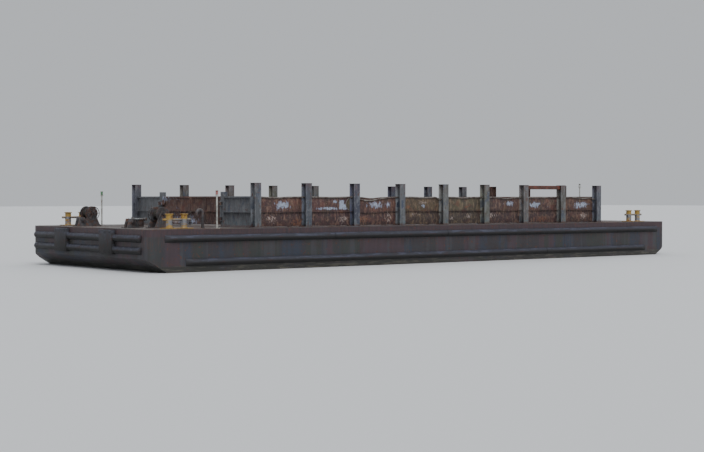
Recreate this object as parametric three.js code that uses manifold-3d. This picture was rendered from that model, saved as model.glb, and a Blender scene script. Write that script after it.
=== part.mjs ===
// Flat-deck river barge, 29 m long: a raked steel hull with two half-pipe rub rails a side, a
// cargo deck fenced by ribbed steel panels between H-section posts, swing gates at the bow,
// bitts, hand winches, raised hatches, tow pads, vents and lamp posts.
//
// Units are millimetres. +X points to the bow, +Y to port, +Z up. The origin is on the flat
// bottom, at the middle of the barge.

import * as THREE from 'three';
import { mergeVertices } from 'three/addons/utils/BufferGeometryUtils.js';
import Module from 'manifold-3d';

const wasm = await Module();
wasm.setup();

// Hull
const LENGTH = 29280; // twelve 2440 mm bays
const BEAM = 9750;
const DECK = 2600; // height of the deck's top face above the flat bottom
const RAKE_LENGTH = 4600;
const RAKE_FOOT = 1500; // height of the headlog's lower edge
const CORNER = 450; // radius of the hull's corners, seen from above
const BILGE = 250;
const DECK_PLATE = 20;
const SEAT = 0.3; // gap at a seat between two pieces

// Rub rails and end fenders, cut from 10 inch half pipe
const RAIL_RADIUS = 136.5;
const UPPER_RAIL = 2240;
const LOWER_RAIL = 1350;
const RAIL_HALF = LENGTH / 2 - CORNER - 250;
const LOWER_SHORT = 900; // how much sooner the lower rail ends
const RAIL_SLOPE = 2.5; // length of a rail's sloped end, in radii
const END_FENDER = {
  height: 1790, short: 60, padY: 1900, padHalf: 500, padFoot: 1620, padTop: 2540, proud: 40,
};

// Skegs, as places along the stern rake from its knee, and heights
const SKEG = {
  y: 2600, half: 30, heel: 0.25, tail: 0.97, run: 500, tailFoot: 420, foot: 120, low: 60, root: 400,
};

// Posts of the cargo fence
const BAY = 2440;
const BAYS = 8;
const FENCE_HALF = (BAY * BAYS) / 2;
const POST_WIDTH = 305; // 12 inch piles
const POST_DEPTH = 305;
const FLANGE = 18;
const WEB = 16;
const POST_HEIGHT = 1740;
const POST_EDGE = 60; // from the hull's side to the post's outer face
const SILL = 20;
const SILL_WIDTH = 360;
const SILL_END = 220; // how far the sill runs on past the last posts
const CAP = { thickness: 12, overX: 12, overY: 6 };
const POST_Y = BEAM / 2 - POST_EDGE - POST_DEPTH / 2;
const FLANGE_INSIDE = POST_Y - POST_DEPTH / 2;
const TIE_BEAM = { half: 70, height: 170, drop: 10 };
const TIE_BAY = 6; // counted from 0 at the bow

// Fence panels
const WALL_HEIGHT = 1220; // 4 ft sheets
const PLATE = 12;
const PLATE_BITE = 2; // how far the plate's face stands proud of the posts' inner flanges
const PANEL_END_GAP = 10; // from the plate's end to the flange beside it
const LAP_GAP = 30; // from the end of a lapping rib to the post's web
const PANEL_FOOT = 60;
const FOOT_LENGTH = 140;
const FOOT_DEPTH = 75;
const MID_RIB = 580;
const RIB_DEPTH = 90;
const LOW_FLANGE = 80;
const TOP_EDGE = 64; // the square tube along the top of the plate
const CROSS_EDGE = 70; // the same on the walls across the deck
const CROSS_GAP = 30; // from a cross wall's end to the side posts

// Gates at the bow end of the cargo fence
const GATE_HALF = 2300; // half of the gateway's clear width
const GATE_POST = 200;
const GATE_POST_HEIGHT = 1400;
const GATE_FRAME = 70;
const GATE_RIB = 50;
const GATE_GAP = 25;
const GATE_MIDDLE_GAP = 12; // from a leaf to the middle line
const GATE_SET = 20; // how far the leaves' frame stands forward of the fence line
const GATE_FOOT = 90;
const GATE_PLATE_SET = 28;
const PIN = { radius: 20, play: 3, low: 200, high: 1045 };
const PIN_X = FENCE_HALF + GATE_POST / 2 + 75; // 75 mm forward of the gate post
const PIN_Y = GATE_HALF + GATE_POST / 2;
const KNUCKLE = { height: 130, wall: 18, play: 5 };
const KNUCKLE_FEET = [250, 860]; // heights of the knuckles' lower ends above the deck
const ARM = { half: 14, inner: 220, outer: 70, lap: 10 };
const LUG = { thickness: 25, half: 45, root: 10 };

// Deck gear
const BASE = DECK + SEAT; // where the gear's base plates rest
const BASE_PLATE = 30;
const BITT = { x: 13000, y: 4150, radius: 125, height: 560, spacing: 640 };
const BITT_CAP = { over: 35, thickness: 30 };
const BITT_BAR = { radius: 45, half: 600, height: 340 };
const BITT_BASE = { halfX: 580, halfY: 230 };
const WINCH = { x: 13000, y: 2900, axle: 520, shaft: 32, play: 0.8, drum: 150, flange: 290, width: 460 };
const CHEEK = { gap: 40, half: 12, foot: 380, head: 90, over: 90 };
const WINCH_BED = { half: 430, over: 60 };
const WINCH_TIE = { back: 250, height: 130, radius: 30 };
const WINCH_SHAFT_END = 190; // how far the shaft runs out of each flange
const WINCH_FLANGE_HALF = 10;
const HAND_WHEEL = { radius: 270, bar: 16, hub: 60, hubHalf: 20, spoke: 12, spokes: 3 };
const HATCH = { x: 12400, y: 0, inner: 300, wall: 14, height: 300, lid: 352 };
const HATCH_RIM = { inset: 6, thickness: 14 };
const HINGE_X = HATCH.lid + 60; // from the hatch's middle to its hinge pin
const HINGE_Z = HATCH.height + 20;
const HATCH_PIN = { radius: 12, bore: 15, half: 100 };
const HATCH_LUG = { y: 95, half: 10, back: 25, front: 27, low: 60, step: 20, high: 40, bite: 6 };
const LID = { plate: 14, crown: 30, crownInset: 110, arm: 40, sleeve: 30, sleeveHalf: 80 };
const LID_GRIP = { x0: 150, x1: 175, y: 110, bar: 20, foot: 10, top: 80 };
const TOW_PAD = { x: 13750, y: 2050, back: 380, front: 300, half: 260 };
const TOW_CHEEK = { y: 120, half: 25, foot: 260, headBack: 60, headFront: 170, height: 330 };
const TOW_PIN = { x: 40, height: 230, half: 190, radius: 50 };
const VENT = { x: 11950, y: 4300, radius: 57, height: 700, bend: 130, drop: 90, flange: 45, base: 20 };
const SIDE_LAMP = { x: 11500, y: 4600, height: 1250 };
const STERN_LAMP = { x: -13700, y: 0, height: 1700 };
const LAMP = { base: 90, plate: 14, pole: 32, tray: 60, glass: 55, glassTop: 190, roof: 68, roofTop: 205 };

// Colours as they show in the photograph, brought to even light
const paint = (color, roughness, metalness) =>
  new THREE.MeshStandardMaterial({ color, roughness, metalness });
const hullPaint = () => paint(0x3c3437, 0.7, 0.2);
const deckRust = () => paint(0x5c4a40, 0.85, 0.2);
const railSteel = () => paint(0x43434d, 0.5, 0.5);
const postPaint = () => paint(0x565b66, 0.6, 0.3);
const panelRust = () => paint(0x5e4540, 0.85, 0.2);
const beamRed = () => paint(0x7a3b2f, 0.75, 0.2);
const gearBlack = () => paint(0x2b2b2d, 0.55, 0.4);
const bittYellow = () => paint(0x9a7a2e, 0.6, 0.2);
const lampWhite = () => paint(0xb8b8b4, 0.5, 0.2);

const barge = new THREE.Group();

// A three.js geometry as a solid that manifold-3d can join and cut.
function solid(geometry) {
  const bare = geometry.index ? geometry.toNonIndexed() : geometry.clone();
  bare.deleteAttribute('normal');
  bare.deleteAttribute('uv');
  const merged = mergeVertices(bare, 1e-3);
  return new wasm.Manifold(new wasm.Mesh({
    numProp: 3,
    vertProperties: new Float32Array(merged.attributes.position.array),
    triVerts: new Uint32Array(merged.index.array),
  }));
}

const join = (parts) => parts.map(solid).reduce((a, b) => a.add(b));
const cut = (body, tools) => tools.map(solid).reduce((a, b) => a.subtract(b), body);

// A solid of manifold-3d back as a three.js geometry.
function geometryOf(body) {
  const mesh = body.getMesh();
  const geometry = new THREE.BufferGeometry()
    .setAttribute('position', new THREE.BufferAttribute(new Float32Array(mesh.vertProperties), 3))
    .setIndex(new THREE.BufferAttribute(new Uint32Array(mesh.triVerts), 1));
  geometry.computeVertexNormals();
  return geometry;
}

function add(name, body, material) {
  const mesh = new THREE.Mesh(geometryOf(body), material);
  mesh.name = name;
  barge.add(mesh);
}

// A box between two corners.
function box([x0, y0, z0], [x1, y1, z1]) {
  return new THREE.BoxGeometry(x1 - x0, y1 - y0, z1 - z0)
    .translate((x0 + x1) / 2, (y0 + y1) / 2, (z0 + z1) / 2);
}

// A cylinder between two heights on an upright axis.
function upright(x, y, z0, z1, radius, sides = 20) {
  return new THREE.CylinderGeometry(radius, radius, z1 - z0, sides)
    .rotateX(Math.PI / 2)
    .translate(x, y, (z0 + z1) / 2);
}

// A cylinder along Y.
function athwart(x, z, y0, y1, radius, sides = 20) {
  return new THREE.CylinderGeometry(radius, radius, y1 - y0, sides)
    .translate(x, (y0 + y1) / 2, z);
}

function outline(points) {
  return new THREE.Shape(points.map(([a, b]) => new THREE.Vector2(a, b)));
}

const flat = (shape, depth, curveSegments = 8) =>
  new THREE.ExtrudeGeometry(shape, { depth, bevelEnabled: false, curveSegments });

// A shape drawn in X and Z, extruded along Y between two places.
const alongY = (shape, y0, y1, segments) =>
  flat(shape, y1 - y0, segments).rotateX(Math.PI / 2).translate(0, y1, 0);

// A shape drawn in Y and Z, extruded along X between two places.
const alongX = (shape, x0, x1, segments) => flat(shape, x1 - x0, segments)
  .applyMatrix4(new THREE.Matrix4().makeBasis(
    new THREE.Vector3(0, 1, 0), new THREE.Vector3(0, 0, 1), new THREE.Vector3(1, 0, 0)))
  .translate(x0, 0, 0);

// A shape drawn in X and Y, extruded upwards between two heights.
const alongZ = (shape, z0, z1, segments) => flat(shape, z1 - z0, segments).translate(0, 0, z0);

// The barge's outline from above: a rectangle with round corners, drawn in by an inset.
function plan(inset = 0) {
  const x = LENGTH / 2 - inset;
  const y = BEAM / 2 - inset;
  const r = CORNER - inset;
  const shape = new THREE.Shape();
  shape.moveTo(x - r, -y);
  shape.absarc(x - r, -y + r, r, -Math.PI / 2, 0, false);
  shape.absarc(x - r, y - r, r, 0, Math.PI / 2, false);
  shape.absarc(-x + r, y - r, r, Math.PI / 2, Math.PI, false);
  shape.absarc(-x + r, -y + r, r, Math.PI, Math.PI * 1.5, false);
  shape.closePath();
  return shape;
}

// The hull is the side view, the cross-section and the view from above, cut with each other.
function hull() {
  const end = LENGTH / 2;
  const knee = end - RAKE_LENGTH;
  const radius = (RAKE_LENGTH ** 2 + RAKE_FOOT ** 2) / (2 * RAKE_FOOT);
  const angle = Math.asin(RAKE_LENGTH / radius);
  const top = DECK - DECK_PLATE - SEAT;
  const side = new THREE.Shape();
  side.moveTo(-knee, 0);
  side.absarc(knee, radius, radius, -Math.PI / 2, -Math.PI / 2 + angle, false);
  side.lineTo(end, top);
  side.lineTo(-end, top);
  side.absarc(-knee, radius, radius, -Math.PI / 2 - angle, -Math.PI / 2, false);
  const half = BEAM / 2;
  const section = new THREE.Shape();
  section.moveTo(half, top);
  section.lineTo(-half, top);
  section.absarc(-half + BILGE, BILGE, BILGE, Math.PI, Math.PI * 1.5, false);
  section.absarc(half - BILGE, BILGE, BILGE, -Math.PI / 2, 0, false);
  section.closePath();
  return solid(alongY(side, -half - 10, half + 10, 10))
    .intersect(solid(alongX(section, -end - 10, end + 10, 5)))
    .intersect(solid(alongZ(plan(), -10, DECK, 6)));
}

// One half pipe along a side, with both ends cut to a slope in plan.
function rubRail(height, halfLength, port) {
  const side = BEAM / 2 + SEAT;
  const section = new THREE.Shape();
  section.absarc(side, height, RAIL_RADIUS, -Math.PI / 2, Math.PI / 2, false);
  section.closePath();
  const wedge = solid(alongZ(outline([
    [halfLength - RAIL_SLOPE * RAIL_RADIUS, side + RAIL_RADIUS + 5],
    [halfLength + 10, side - 5],
    [halfLength + 10, side + RAIL_RADIUS + 5],
  ]), height - RAIL_RADIUS - 5, height + RAIL_RADIUS + 5));
  const rail = solid(alongX(section, -halfLength, halfLength, 5))
    .subtract(wedge)
    .subtract(wedge.mirror([1, 0, 0]));
  return port ? rail : rail.rotate([0, 0, 180]);
}

// Half pipes across the headlog, tied by two flat-faced pads that a push boat bears on.
function endFender(bow) {
  const x = LENGTH / 2 + SEAT;
  const reach = BEAM / 2 - CORNER - END_FENDER.short;
  const pipe = (height) => {
    const section = new THREE.Shape();
    section.absarc(x, height, RAIL_RADIUS, -Math.PI / 2, Math.PI / 2, false);
    section.closePath();
    return alongY(section, -reach, reach, 5);
  };
  const { padY, padHalf, padFoot, padTop, proud } = END_FENDER;
  const pads = [-1, 1].map((s) => box(
    [x, s * padY - padHalf, padFoot], [x + RAIL_RADIUS + proud, s * padY + padHalf, padTop]));
  const fender = join([pipe(UPPER_RAIL), pipe(END_FENDER.height), ...pads]);
  return bow ? fender : fender.rotate([0, 0, 180]);
}

// A fin under the stern rake that keeps the barge straight when it is towed.
function skeg(y, hullBody) {
  const knee = LENGTH / 2 - RAKE_LENGTH;
  const heel = knee + SKEG.heel * RAKE_LENGTH;
  const tail = knee + SKEG.tail * RAKE_LENGTH;
  const fin = alongY(outline([
    [-tail, SKEG.tailFoot], [-tail + SKEG.run, SKEG.foot], [-heel - SKEG.run, SKEG.low],
    [-heel, SKEG.low], [-heel, SKEG.root], [-tail, RAKE_FOOT],
  ]), y - SKEG.half, y + SKEG.half);
  return solid(fin).subtract(hullBody.translate([0, 0, -SEAT]));
}

// The posts' H section, flanges facing the side.
function postSection(x) {
  const w = POST_WIDTH / 2;
  const d = POST_DEPTH / 2;
  return outline([
    [-w, -d], [w, -d], [w, -d + FLANGE], [WEB / 2, -d + FLANGE], [WEB / 2, d - FLANGE],
    [w, d - FLANGE], [w, d], [-w, d], [-w, d - FLANGE], [-WEB / 2, d - FLANGE],
    [-WEB / 2, -d + FLANGE], [-w, -d + FLANGE],
  ].map(([a, b]) => [a + x, b]));
}

// One H post with its cap plate, standing on a sill at the given place.
function post(x, y) {
  const foot = DECK + SEAT + SILL - 1;
  const head = DECK + POST_HEIGHT;
  return [
    alongZ(postSection(x), foot, head - CAP.thickness + 1).translate(0, y, 0),
    box([x - POST_WIDTH / 2 - CAP.overX, y - POST_DEPTH / 2 - CAP.overY, head - CAP.thickness],
      [x + POST_WIDTH / 2 + CAP.overX, y + POST_DEPTH / 2 + CAP.overY, head]),
  ];
}

// All posts of one side, welded to the sill plate that carries them.
function sidePosts(side) {
  const y = side * POST_Y;
  const sill = box([-FENCE_HALF - SILL_END, y - SILL_WIDTH / 2, BASE],
    [FENCE_HALF + SILL_END, y + SILL_WIDTH / 2, BASE + SILL]);
  const posts = Array.from({ length: BAYS + 1 }, (_, i) => post(FENCE_HALF - i * BAY, y));
  return join([sill, ...posts.flat()]);
}

// The panel that fills one bay: a plate on two feet, in line with the inner flanges of the posts
// beside it, with a rib and a top tube whose ends lap over those flanges.
function panel(bay, port) {
  const middle = (port ? 1 : -1) * (FENCE_HALF - (bay + 0.5) * BAY);
  const half = BAY / 2 - POST_WIDTH / 2 - PANEL_END_GAP;
  const lapped = BAY / 2 - WEB / 2 - LAP_GAP;
  const seat = FLANGE_INSIDE + FLANGE + SEAT;
  const skin = seat + PLATE_BITE;
  const back = skin - PLATE;
  const foot = DECK + PANEL_FOOT;
  const top = DECK + WALL_HEIGHT;
  const bar = (reach, z, depth, height) => box(
    [middle - reach, seat, z], [middle + reach, seat + depth, z + height]);
  const feet = [middle - half, middle + half - FOOT_LENGTH].map((x) => box(
    [x, back, DECK + SILL + 2 * SEAT], [x + FOOT_LENGTH, back + FOOT_DEPTH, foot + 2]));
  const whole = join([
    box([middle - half, back, foot], [middle + half, skin, top]),
    bar(half, foot, LOW_FLANGE, PLATE),
    bar(lapped, DECK + MID_RIB, RIB_DEPTH, PLATE),
    bar(lapped, top - TOP_EDGE, TOP_EDGE, TOP_EDGE),
    ...feet,
  ]);
  return port ? whole : whole.rotate([0, 0, 180]);
}

// A box beam between the heads of two posts, fitted between their flanges up to the webs.
function tieBeam(bay) {
  const middle = FENCE_HALF - (bay + 0.5) * BAY;
  const half = BAY / 2 - WEB / 2 - SEAT;
  const top = DECK + POST_HEIGHT - CAP.thickness - TIE_BEAM.drop;
  return solid(box([middle - half, POST_Y - TIE_BEAM.half, top - TIE_BEAM.height],
    [middle + half, POST_Y + TIE_BEAM.half, top]));
}

// A stretch of fixed wall across the deck, on its own sill: plate, mid rib and top edge.
function crossWall(x, y0, y1, ribSide) {
  const rib = (z, depth, height) => {
    const [x0, x1] = [x, x + ribSide * depth].sort((a, b) => a - b);
    return box([x0, y0, z], [x1, y1, z + height]);
  };
  return [
    box([x - SILL_WIDTH / 2, y0, BASE], [x + SILL_WIDTH / 2, y1, BASE + SILL]),
    box([x - PLATE / 2, y0, DECK + SILL], [x + PLATE / 2, y1, DECK + WALL_HEIGHT]),
    rib(DECK + MID_RIB, RIB_DEPTH, PLATE),
    rib(DECK + WALL_HEIGHT - TOP_EDGE, CROSS_EDGE, TOP_EDGE),
  ];
}

// The closed wall at the stern end of the cargo space, held by three H posts.
function sternWall() {
  const reach = FLANGE_INSIDE - CROSS_GAP;
  const posts = [-BAY, 0, BAY].flatMap((y) => post(0, 0)
    .map((part) => part.rotateZ(Math.PI / 2).translate(-FENCE_HALF, y, 0)));
  return join([...crossWall(-FENCE_HALF, -reach, reach, -1), ...posts]);
}

// The fixed wing beside a gate: wall, gate post and the hinge pin between its lugs.
function wing(port) {
  const half = GATE_POST / 2;
  const lug = (z) => box([FENCE_HALF + half - LUG.root, PIN_Y - LUG.half, z],
    [PIN_X + LUG.half, PIN_Y + LUG.half, z + LUG.thickness]);
  const lugs = KNUCKLE_FEET.flatMap((foot) => [
    lug(DECK + foot - SEAT - LUG.thickness),
    lug(DECK + foot + KNUCKLE.height + KNUCKLE.play),
  ]);
  const whole = join([
    ...crossWall(FENCE_HALF, GATE_HALF, FLANGE_INSIDE - CROSS_GAP, 1),
    box([FENCE_HALF - half, PIN_Y - half, DECK + SILL],
      [FENCE_HALF + half, PIN_Y + half, DECK + GATE_POST_HEIGHT]),
    ...lugs,
    upright(PIN_X, PIN_Y, DECK + PIN.low, DECK + PIN.high, PIN.radius, 16),
  ]);
  return port ? whole : whole.mirror([0, 1, 0]);
}

// One gate leaf, closed: a framed plate that hangs on two arms with knuckles round the pin.
function gate(port) {
  const x0 = FENCE_HALF + GATE_SET;
  const x1 = x0 + GATE_FRAME;
  const [y0, y1] = [GATE_MIDDLE_GAP, GATE_HALF - GATE_GAP];
  const low = DECK + GATE_FOOT;
  const high = DECK + WALL_HEIGHT;
  const bar = (z, height) => box([x0, y0, z], [x1, y1, z + height]);
  const stile = (y) => box([x0, y, low], [x1, y + GATE_FRAME, high]);
  const hinge = (z) => [
    box([x1 - 5, y1 - ARM.inner, z], [PIN_X + ARM.half, y1 - ARM.outer, z + KNUCKLE.height]),
    box([PIN_X - ARM.half, y1 - ARM.outer - ARM.lap, z], [PIN_X + ARM.half, PIN_Y, z + KNUCKLE.height]),
    upright(PIN_X, PIN_Y, z, z + KNUCKLE.height, PIN.radius + PIN.play + KNUCKLE.wall, 16),
  ];
  const leaf = join([
    bar(low, GATE_FRAME), bar(DECK + MID_RIB, GATE_RIB), bar(high - GATE_FRAME, GATE_FRAME),
    stile(y0), stile((y0 + y1 - GATE_FRAME) / 2), stile(y1 - GATE_FRAME),
    box([x0 + GATE_PLATE_SET, y0, low], [x0 + GATE_PLATE_SET + PLATE, y1, high]),
    ...KNUCKLE_FEET.flatMap((foot) => hinge(DECK + foot)),
  ]);
  const whole = cut(leaf, [upright(PIN_X, PIN_Y, low, high, PIN.radius + PIN.play, 16)]);
  return port ? whole : whole.mirror([0, 1, 0]);
}

// Two stout pipes with caps and a cross bar, on one base plate.
function bitts(x, y) {
  const { radius, height, spacing } = BITT;
  const top = BASE + height;
  const pairs = [-1, 1].map((s) => x + (s * spacing) / 2).flatMap((px) => [
    upright(px, y, BASE + 20, top, radius),
    upright(px, y, top - BITT_CAP.thickness, top, radius + BITT_CAP.over),
  ]);
  const bar = new THREE.CylinderGeometry(BITT_BAR.radius, BITT_BAR.radius, 2 * BITT_BAR.half, 12)
    .rotateZ(Math.PI / 2).translate(x, y, BASE + BITT_BAR.height);
  const foot = box([x - BITT_BASE.halfX, y - BITT_BASE.halfY, BASE],
    [x + BITT_BASE.halfX, y + BITT_BASE.halfY, BASE + BASE_PLATE]);
  return join([foot, ...pairs, bar]);
}

// The bed and two cheeks that carry a winch's shaft.
function winchFrame(side) {
  const { x, axle, width, shaft, play } = WINCH;
  const y = side * WINCH.y;
  const inside = width / 2 + CHEEK.gap;
  const cheekShape = outline([
    [-CHEEK.foot, 0], [CHEEK.foot, 0], [CHEEK.head, axle + CHEEK.over], [-CHEEK.head, axle + CHEEK.over],
  ].map(([a, b]) => [a + x, b + BASE + BASE_PLATE - 1]));
  const cheeks = [-1, 1].map((s) =>
    alongY(cheekShape, y + s * inside - CHEEK.half, y + s * inside + CHEEK.half));
  const bed = box([x - WINCH_BED.half, y - inside - WINCH_BED.over, BASE],
    [x + WINCH_BED.half, y + inside + WINCH_BED.over, BASE + BASE_PLATE]);
  const tie = athwart(x - WINCH_TIE.back, BASE + WINCH_TIE.height, y - inside, y + inside,
    WINCH_TIE.radius, 12);
  const clear = inside + WINCH_BED.over + BASE_PLATE;
  return cut(join([bed, tie, ...cheeks]),
    [athwart(x, BASE + axle, y - clear, y + clear, shaft + play, 20)]);
}

// The drum with its flanges and hand wheel, all on one shaft.
function winchDrum(side) {
  const { x, axle, width, shaft, drum, flange } = WINCH;
  const { radius, bar, hub, hubHalf, spoke, spokes } = HAND_WHEEL;
  const y = side * WINCH.y;
  const z = BASE + axle;
  const half = width / 2;
  const outer = half + WINCH_SHAFT_END;
  const wheel = y - side * (outer - hubHalf);
  const arms = Array.from({ length: spokes }, (_, i) =>
    new THREE.CylinderGeometry(spoke, spoke, 2 * radius, 8)
      .rotateX(Math.PI / 2).rotateY((i * Math.PI) / spokes).translate(x, wheel, z));
  return join([
    athwart(x, z, y - outer, y + outer, shaft, 20),
    athwart(x, z, y - half, y + half, drum, 24),
    ...[-half, half].map((at) =>
      athwart(x, z, y + at - WINCH_FLANGE_HALF, y + at + WINCH_FLANGE_HALF, flange, 32)),
    athwart(x, z, wheel - hubHalf, wheel + hubHalf, hub, 16),
    new THREE.TorusGeometry(radius, bar, 8, 32).rotateX(Math.PI / 2).translate(x, wheel, z),
    ...arms,
  ]);
}

// A round coaming with a hinge pin between two lugs.
function coaming(x, y) {
  const { inner, wall, height, lid: lidRadius } = HATCH;
  const rim = lidRadius - HATCH_RIM.inset;
  const seat = height - HATCH_RIM.thickness;
  const ring = new THREE.LatheGeometry([
    [inner, 0], [inner + wall, 0], [inner + wall, seat], [rim, seat], [rim, height],
    [inner, height], [inner, 0],
  ].map(([r, z]) => new THREE.Vector2(r, z)), 28).rotateX(Math.PI / 2).translate(x, y, BASE);
  const { back, front, low, step, high, bite } = HATCH_LUG;
  const shape = outline([
    [-HINGE_X - back, height - low], [-inner + bite, height - low], [-inner + bite, height - step],
    [-HINGE_X + front, height - step], [-HINGE_X + front, height + high],
    [-HINGE_X - back, height + high],
  ].map(([a, b]) => [a + x, b + BASE]));
  const lugs = [-1, 1].map((s) => y + s * HATCH_LUG.y)
    .map((at) => alongY(shape, at - HATCH_LUG.half, at + HATCH_LUG.half));
  const pin = athwart(x - HINGE_X, BASE + HINGE_Z, y - HATCH_PIN.half, y + HATCH_PIN.half,
    HATCH_PIN.radius, 12);
  return join([ring, ...lugs, pin]);
}

// The lid, with its hinge arm and a lifting bar.
function lid(x, y) {
  const z = BASE + HATCH.height + SEAT;
  const hinge = (half, radius, sides) =>
    athwart(x - HINGE_X, BASE + HINGE_Z, y - half, y + half, radius, sides);
  const { x0, x1, bar, foot, top } = LID_GRIP;
  const grip = (y0, y1, z0, z1) => box([x + x0, y + y0, z + z0], [x + x1, y + y1, z + z1]);
  const parts = [
    upright(x, y, z, z + LID.plate, HATCH.lid, 28),
    upright(x, y, z + LID.plate - 4, z + LID.crown, HATCH.lid - LID.crownInset, 28),
    box([x - HINGE_X, y - LID.arm, z + 2], [x - HATCH.lid + 120, y + LID.arm, z + 26]),
    hinge(LID.sleeveHalf, LID.sleeve, 16),
    grip(-LID_GRIP.y, -LID_GRIP.y + bar, foot, top - 5),
    grip(LID_GRIP.y - bar, LID_GRIP.y, foot, top - 5),
    grip(-LID_GRIP.y, LID_GRIP.y, top - bar, top),
  ];
  return cut(join(parts), [hinge(HATCH_PIN.half + 30, HATCH_PIN.bore, 12)]);
}

// Two cheeks with a cross pin, where a tow chain is made fast.
function towPad(x, y) {
  const { foot, headBack, headFront, height, half } = TOW_CHEEK;
  const shape = outline([[-foot, 0], [foot, 0], [headFront, height], [-headBack, height]]
    .map(([a, b]) => [a + x, b + BASE + BASE_PLATE - 1]));
  return join([
    box([x - TOW_PAD.back, y - TOW_PAD.half, BASE],
      [x + TOW_PAD.front, y + TOW_PAD.half, BASE + BASE_PLATE]),
    ...[-1, 1].map((s) => y + s * TOW_CHEEK.y).map((at) => alongY(shape, at - half, at + half)),
    athwart(x + TOW_PIN.x, BASE + TOW_PIN.height, y - TOW_PIN.half, y + TOW_PIN.half,
      TOW_PIN.radius, 16),
  ]);
}

// A gooseneck vent: a pipe that turns over to face down.
function vent(x, y) {
  const { radius, height, bend, drop, flange, base } = VENT;
  const rise = BASE + height - bend;
  const arc = Array.from({ length: 9 }, (_, i) => (Math.PI * i) / 8)
    .map((a) => new THREE.Vector3(x + bend - bend * Math.cos(a), y, rise + bend * Math.sin(a)));
  const points = [
    new THREE.Vector3(x, y, BASE + 10), ...arc, new THREE.Vector3(x + 2 * bend, y, rise - drop),
  ];
  const path = new THREE.CurvePath();
  points.slice(1).forEach((p, i) => path.add(new THREE.LineCurve3(points[i], p)));
  const round = new THREE.Shape().absarc(0, 0, radius, 0, Math.PI * 2, false);
  const pipe = new THREE.ExtrudeGeometry(round, { steps: 26, extrudePath: path, curveSegments: 7 });
  return join([pipe, upright(x, y, BASE, BASE + base, radius + flange, 16)]);
}

// A pole with a lantern on a tray.
function lampPost({ x, y: offset, height }, side = 1) {
  const y = side * offset;
  const top = BASE + height;
  const { base, plate, pole, tray, glass, glassTop, roof, roofTop } = LAMP;
  return join([
    box([x - base, y - base, BASE], [x + base, y + base, BASE + plate]),
    upright(x, y, BASE + 10, top, pole, 12),
    box([x - tray, y - tray, top - 6], [x + tray, y + tray, top + 8]),
    upright(x, y, top + 6, top + glassTop, glass, 16),
    upright(x, y, top + glassTop - 4, top + roofTop, roof, 16),
  ]);
}

const hullBody = hull();
add('hull', hullBody, hullPaint());
add('deck_plate', solid(alongZ(plan(), DECK - DECK_PLATE, DECK, 6)), deckRust());

for (const [side, port] of [['port', true], ['stbd', false]]) {
  const sign = port ? 1 : -1;
  add(`upper_rub_rail_${side}`, rubRail(UPPER_RAIL, RAIL_HALF, port), railSteel());
  add(`lower_rub_rail_${side}`, rubRail(LOWER_RAIL, RAIL_HALF - LOWER_SHORT, port), railSteel());
  add(`skeg_${side}`, skeg(sign * SKEG.y, hullBody), hullPaint());
  add(`fence_posts_${side}`, sidePosts(sign), postPaint());
  for (let bay = 0; bay < BAYS; bay++) {
    add(`fence_panel_${side}_${bay + 1}`, panel(bay, port), panelRust());
  }
  add(`gate_wing_${side}`, wing(port), postPaint());
  add(`gate_${side}`, gate(port), panelRust());
  add(`winch_frame_${side}`, winchFrame(sign), gearBlack());
  add(`winch_drum_${side}`, winchDrum(sign), gearBlack());
  add(`bow_bitts_${side}`, bitts(BITT.x, sign * BITT.y), bittYellow());
  add(`stern_bitts_${side}`, bitts(-BITT.x, sign * BITT.y), bittYellow());
  add(`tow_pad_${side}`, towPad(TOW_PAD.x, sign * TOW_PAD.y), gearBlack());
  add(`side_lamp_${side}`, lampPost(SIDE_LAMP, sign), lampWhite());
}

for (const [place, sign] of [['bow', 1], ['stern', -1]]) {
  add(`${place}_fender`, endFender(sign > 0), railSteel());
  add(`${place}_hatch_coaming`, coaming(sign * HATCH.x, HATCH.y), gearBlack());
  add(`${place}_hatch_lid`, lid(sign * HATCH.x, HATCH.y), gearBlack());
  add(`${place}_vent`, vent(sign * VENT.x, sign * VENT.y), gearBlack());
}

add('stern_wall', sternWall(), panelRust());
add('tie_beam', tieBeam(TIE_BAY), beamRed());
add('stern_lamp', lampPost(STERN_LAMP), lampWhite());

export default barge;
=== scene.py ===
"""Looks of a steel deck cargo barge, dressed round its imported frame.

Every length is in metres, in the frame's own axes: +X to the bow, +Y to port, +Z up, with the
origin on the flat bottom at the middle of the barge.
"""

import logging
import math
from collections.abc import Callable, Sequence
from dataclasses import dataclass
from enum import Enum

import bmesh
import bpy
from bmesh.types import BMesh
from mathutils import Matrix, Vector, noise


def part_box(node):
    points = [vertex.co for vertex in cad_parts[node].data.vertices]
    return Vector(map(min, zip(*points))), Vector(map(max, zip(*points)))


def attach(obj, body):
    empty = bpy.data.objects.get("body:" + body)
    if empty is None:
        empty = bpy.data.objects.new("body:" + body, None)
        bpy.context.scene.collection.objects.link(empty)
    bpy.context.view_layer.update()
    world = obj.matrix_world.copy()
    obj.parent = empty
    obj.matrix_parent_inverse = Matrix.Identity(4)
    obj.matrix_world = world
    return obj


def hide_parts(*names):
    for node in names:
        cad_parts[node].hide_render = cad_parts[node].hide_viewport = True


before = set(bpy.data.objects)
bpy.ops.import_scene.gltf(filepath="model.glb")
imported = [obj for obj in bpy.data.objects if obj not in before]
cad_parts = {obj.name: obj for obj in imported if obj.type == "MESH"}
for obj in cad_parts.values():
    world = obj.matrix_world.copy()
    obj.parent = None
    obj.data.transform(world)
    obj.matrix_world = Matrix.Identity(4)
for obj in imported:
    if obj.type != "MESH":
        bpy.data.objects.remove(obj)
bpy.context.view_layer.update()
log = logging.getLogger("deck_barge")

MM = 0.001
SAME_POINT = 0.01 * MM
UNTINTED = "#ffffff"
WATERLINE = 0.98
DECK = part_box("deck_plate")[1].z
HALF_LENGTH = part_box("hull")[1].x
HALF_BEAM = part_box("hull")[1].y

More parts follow.
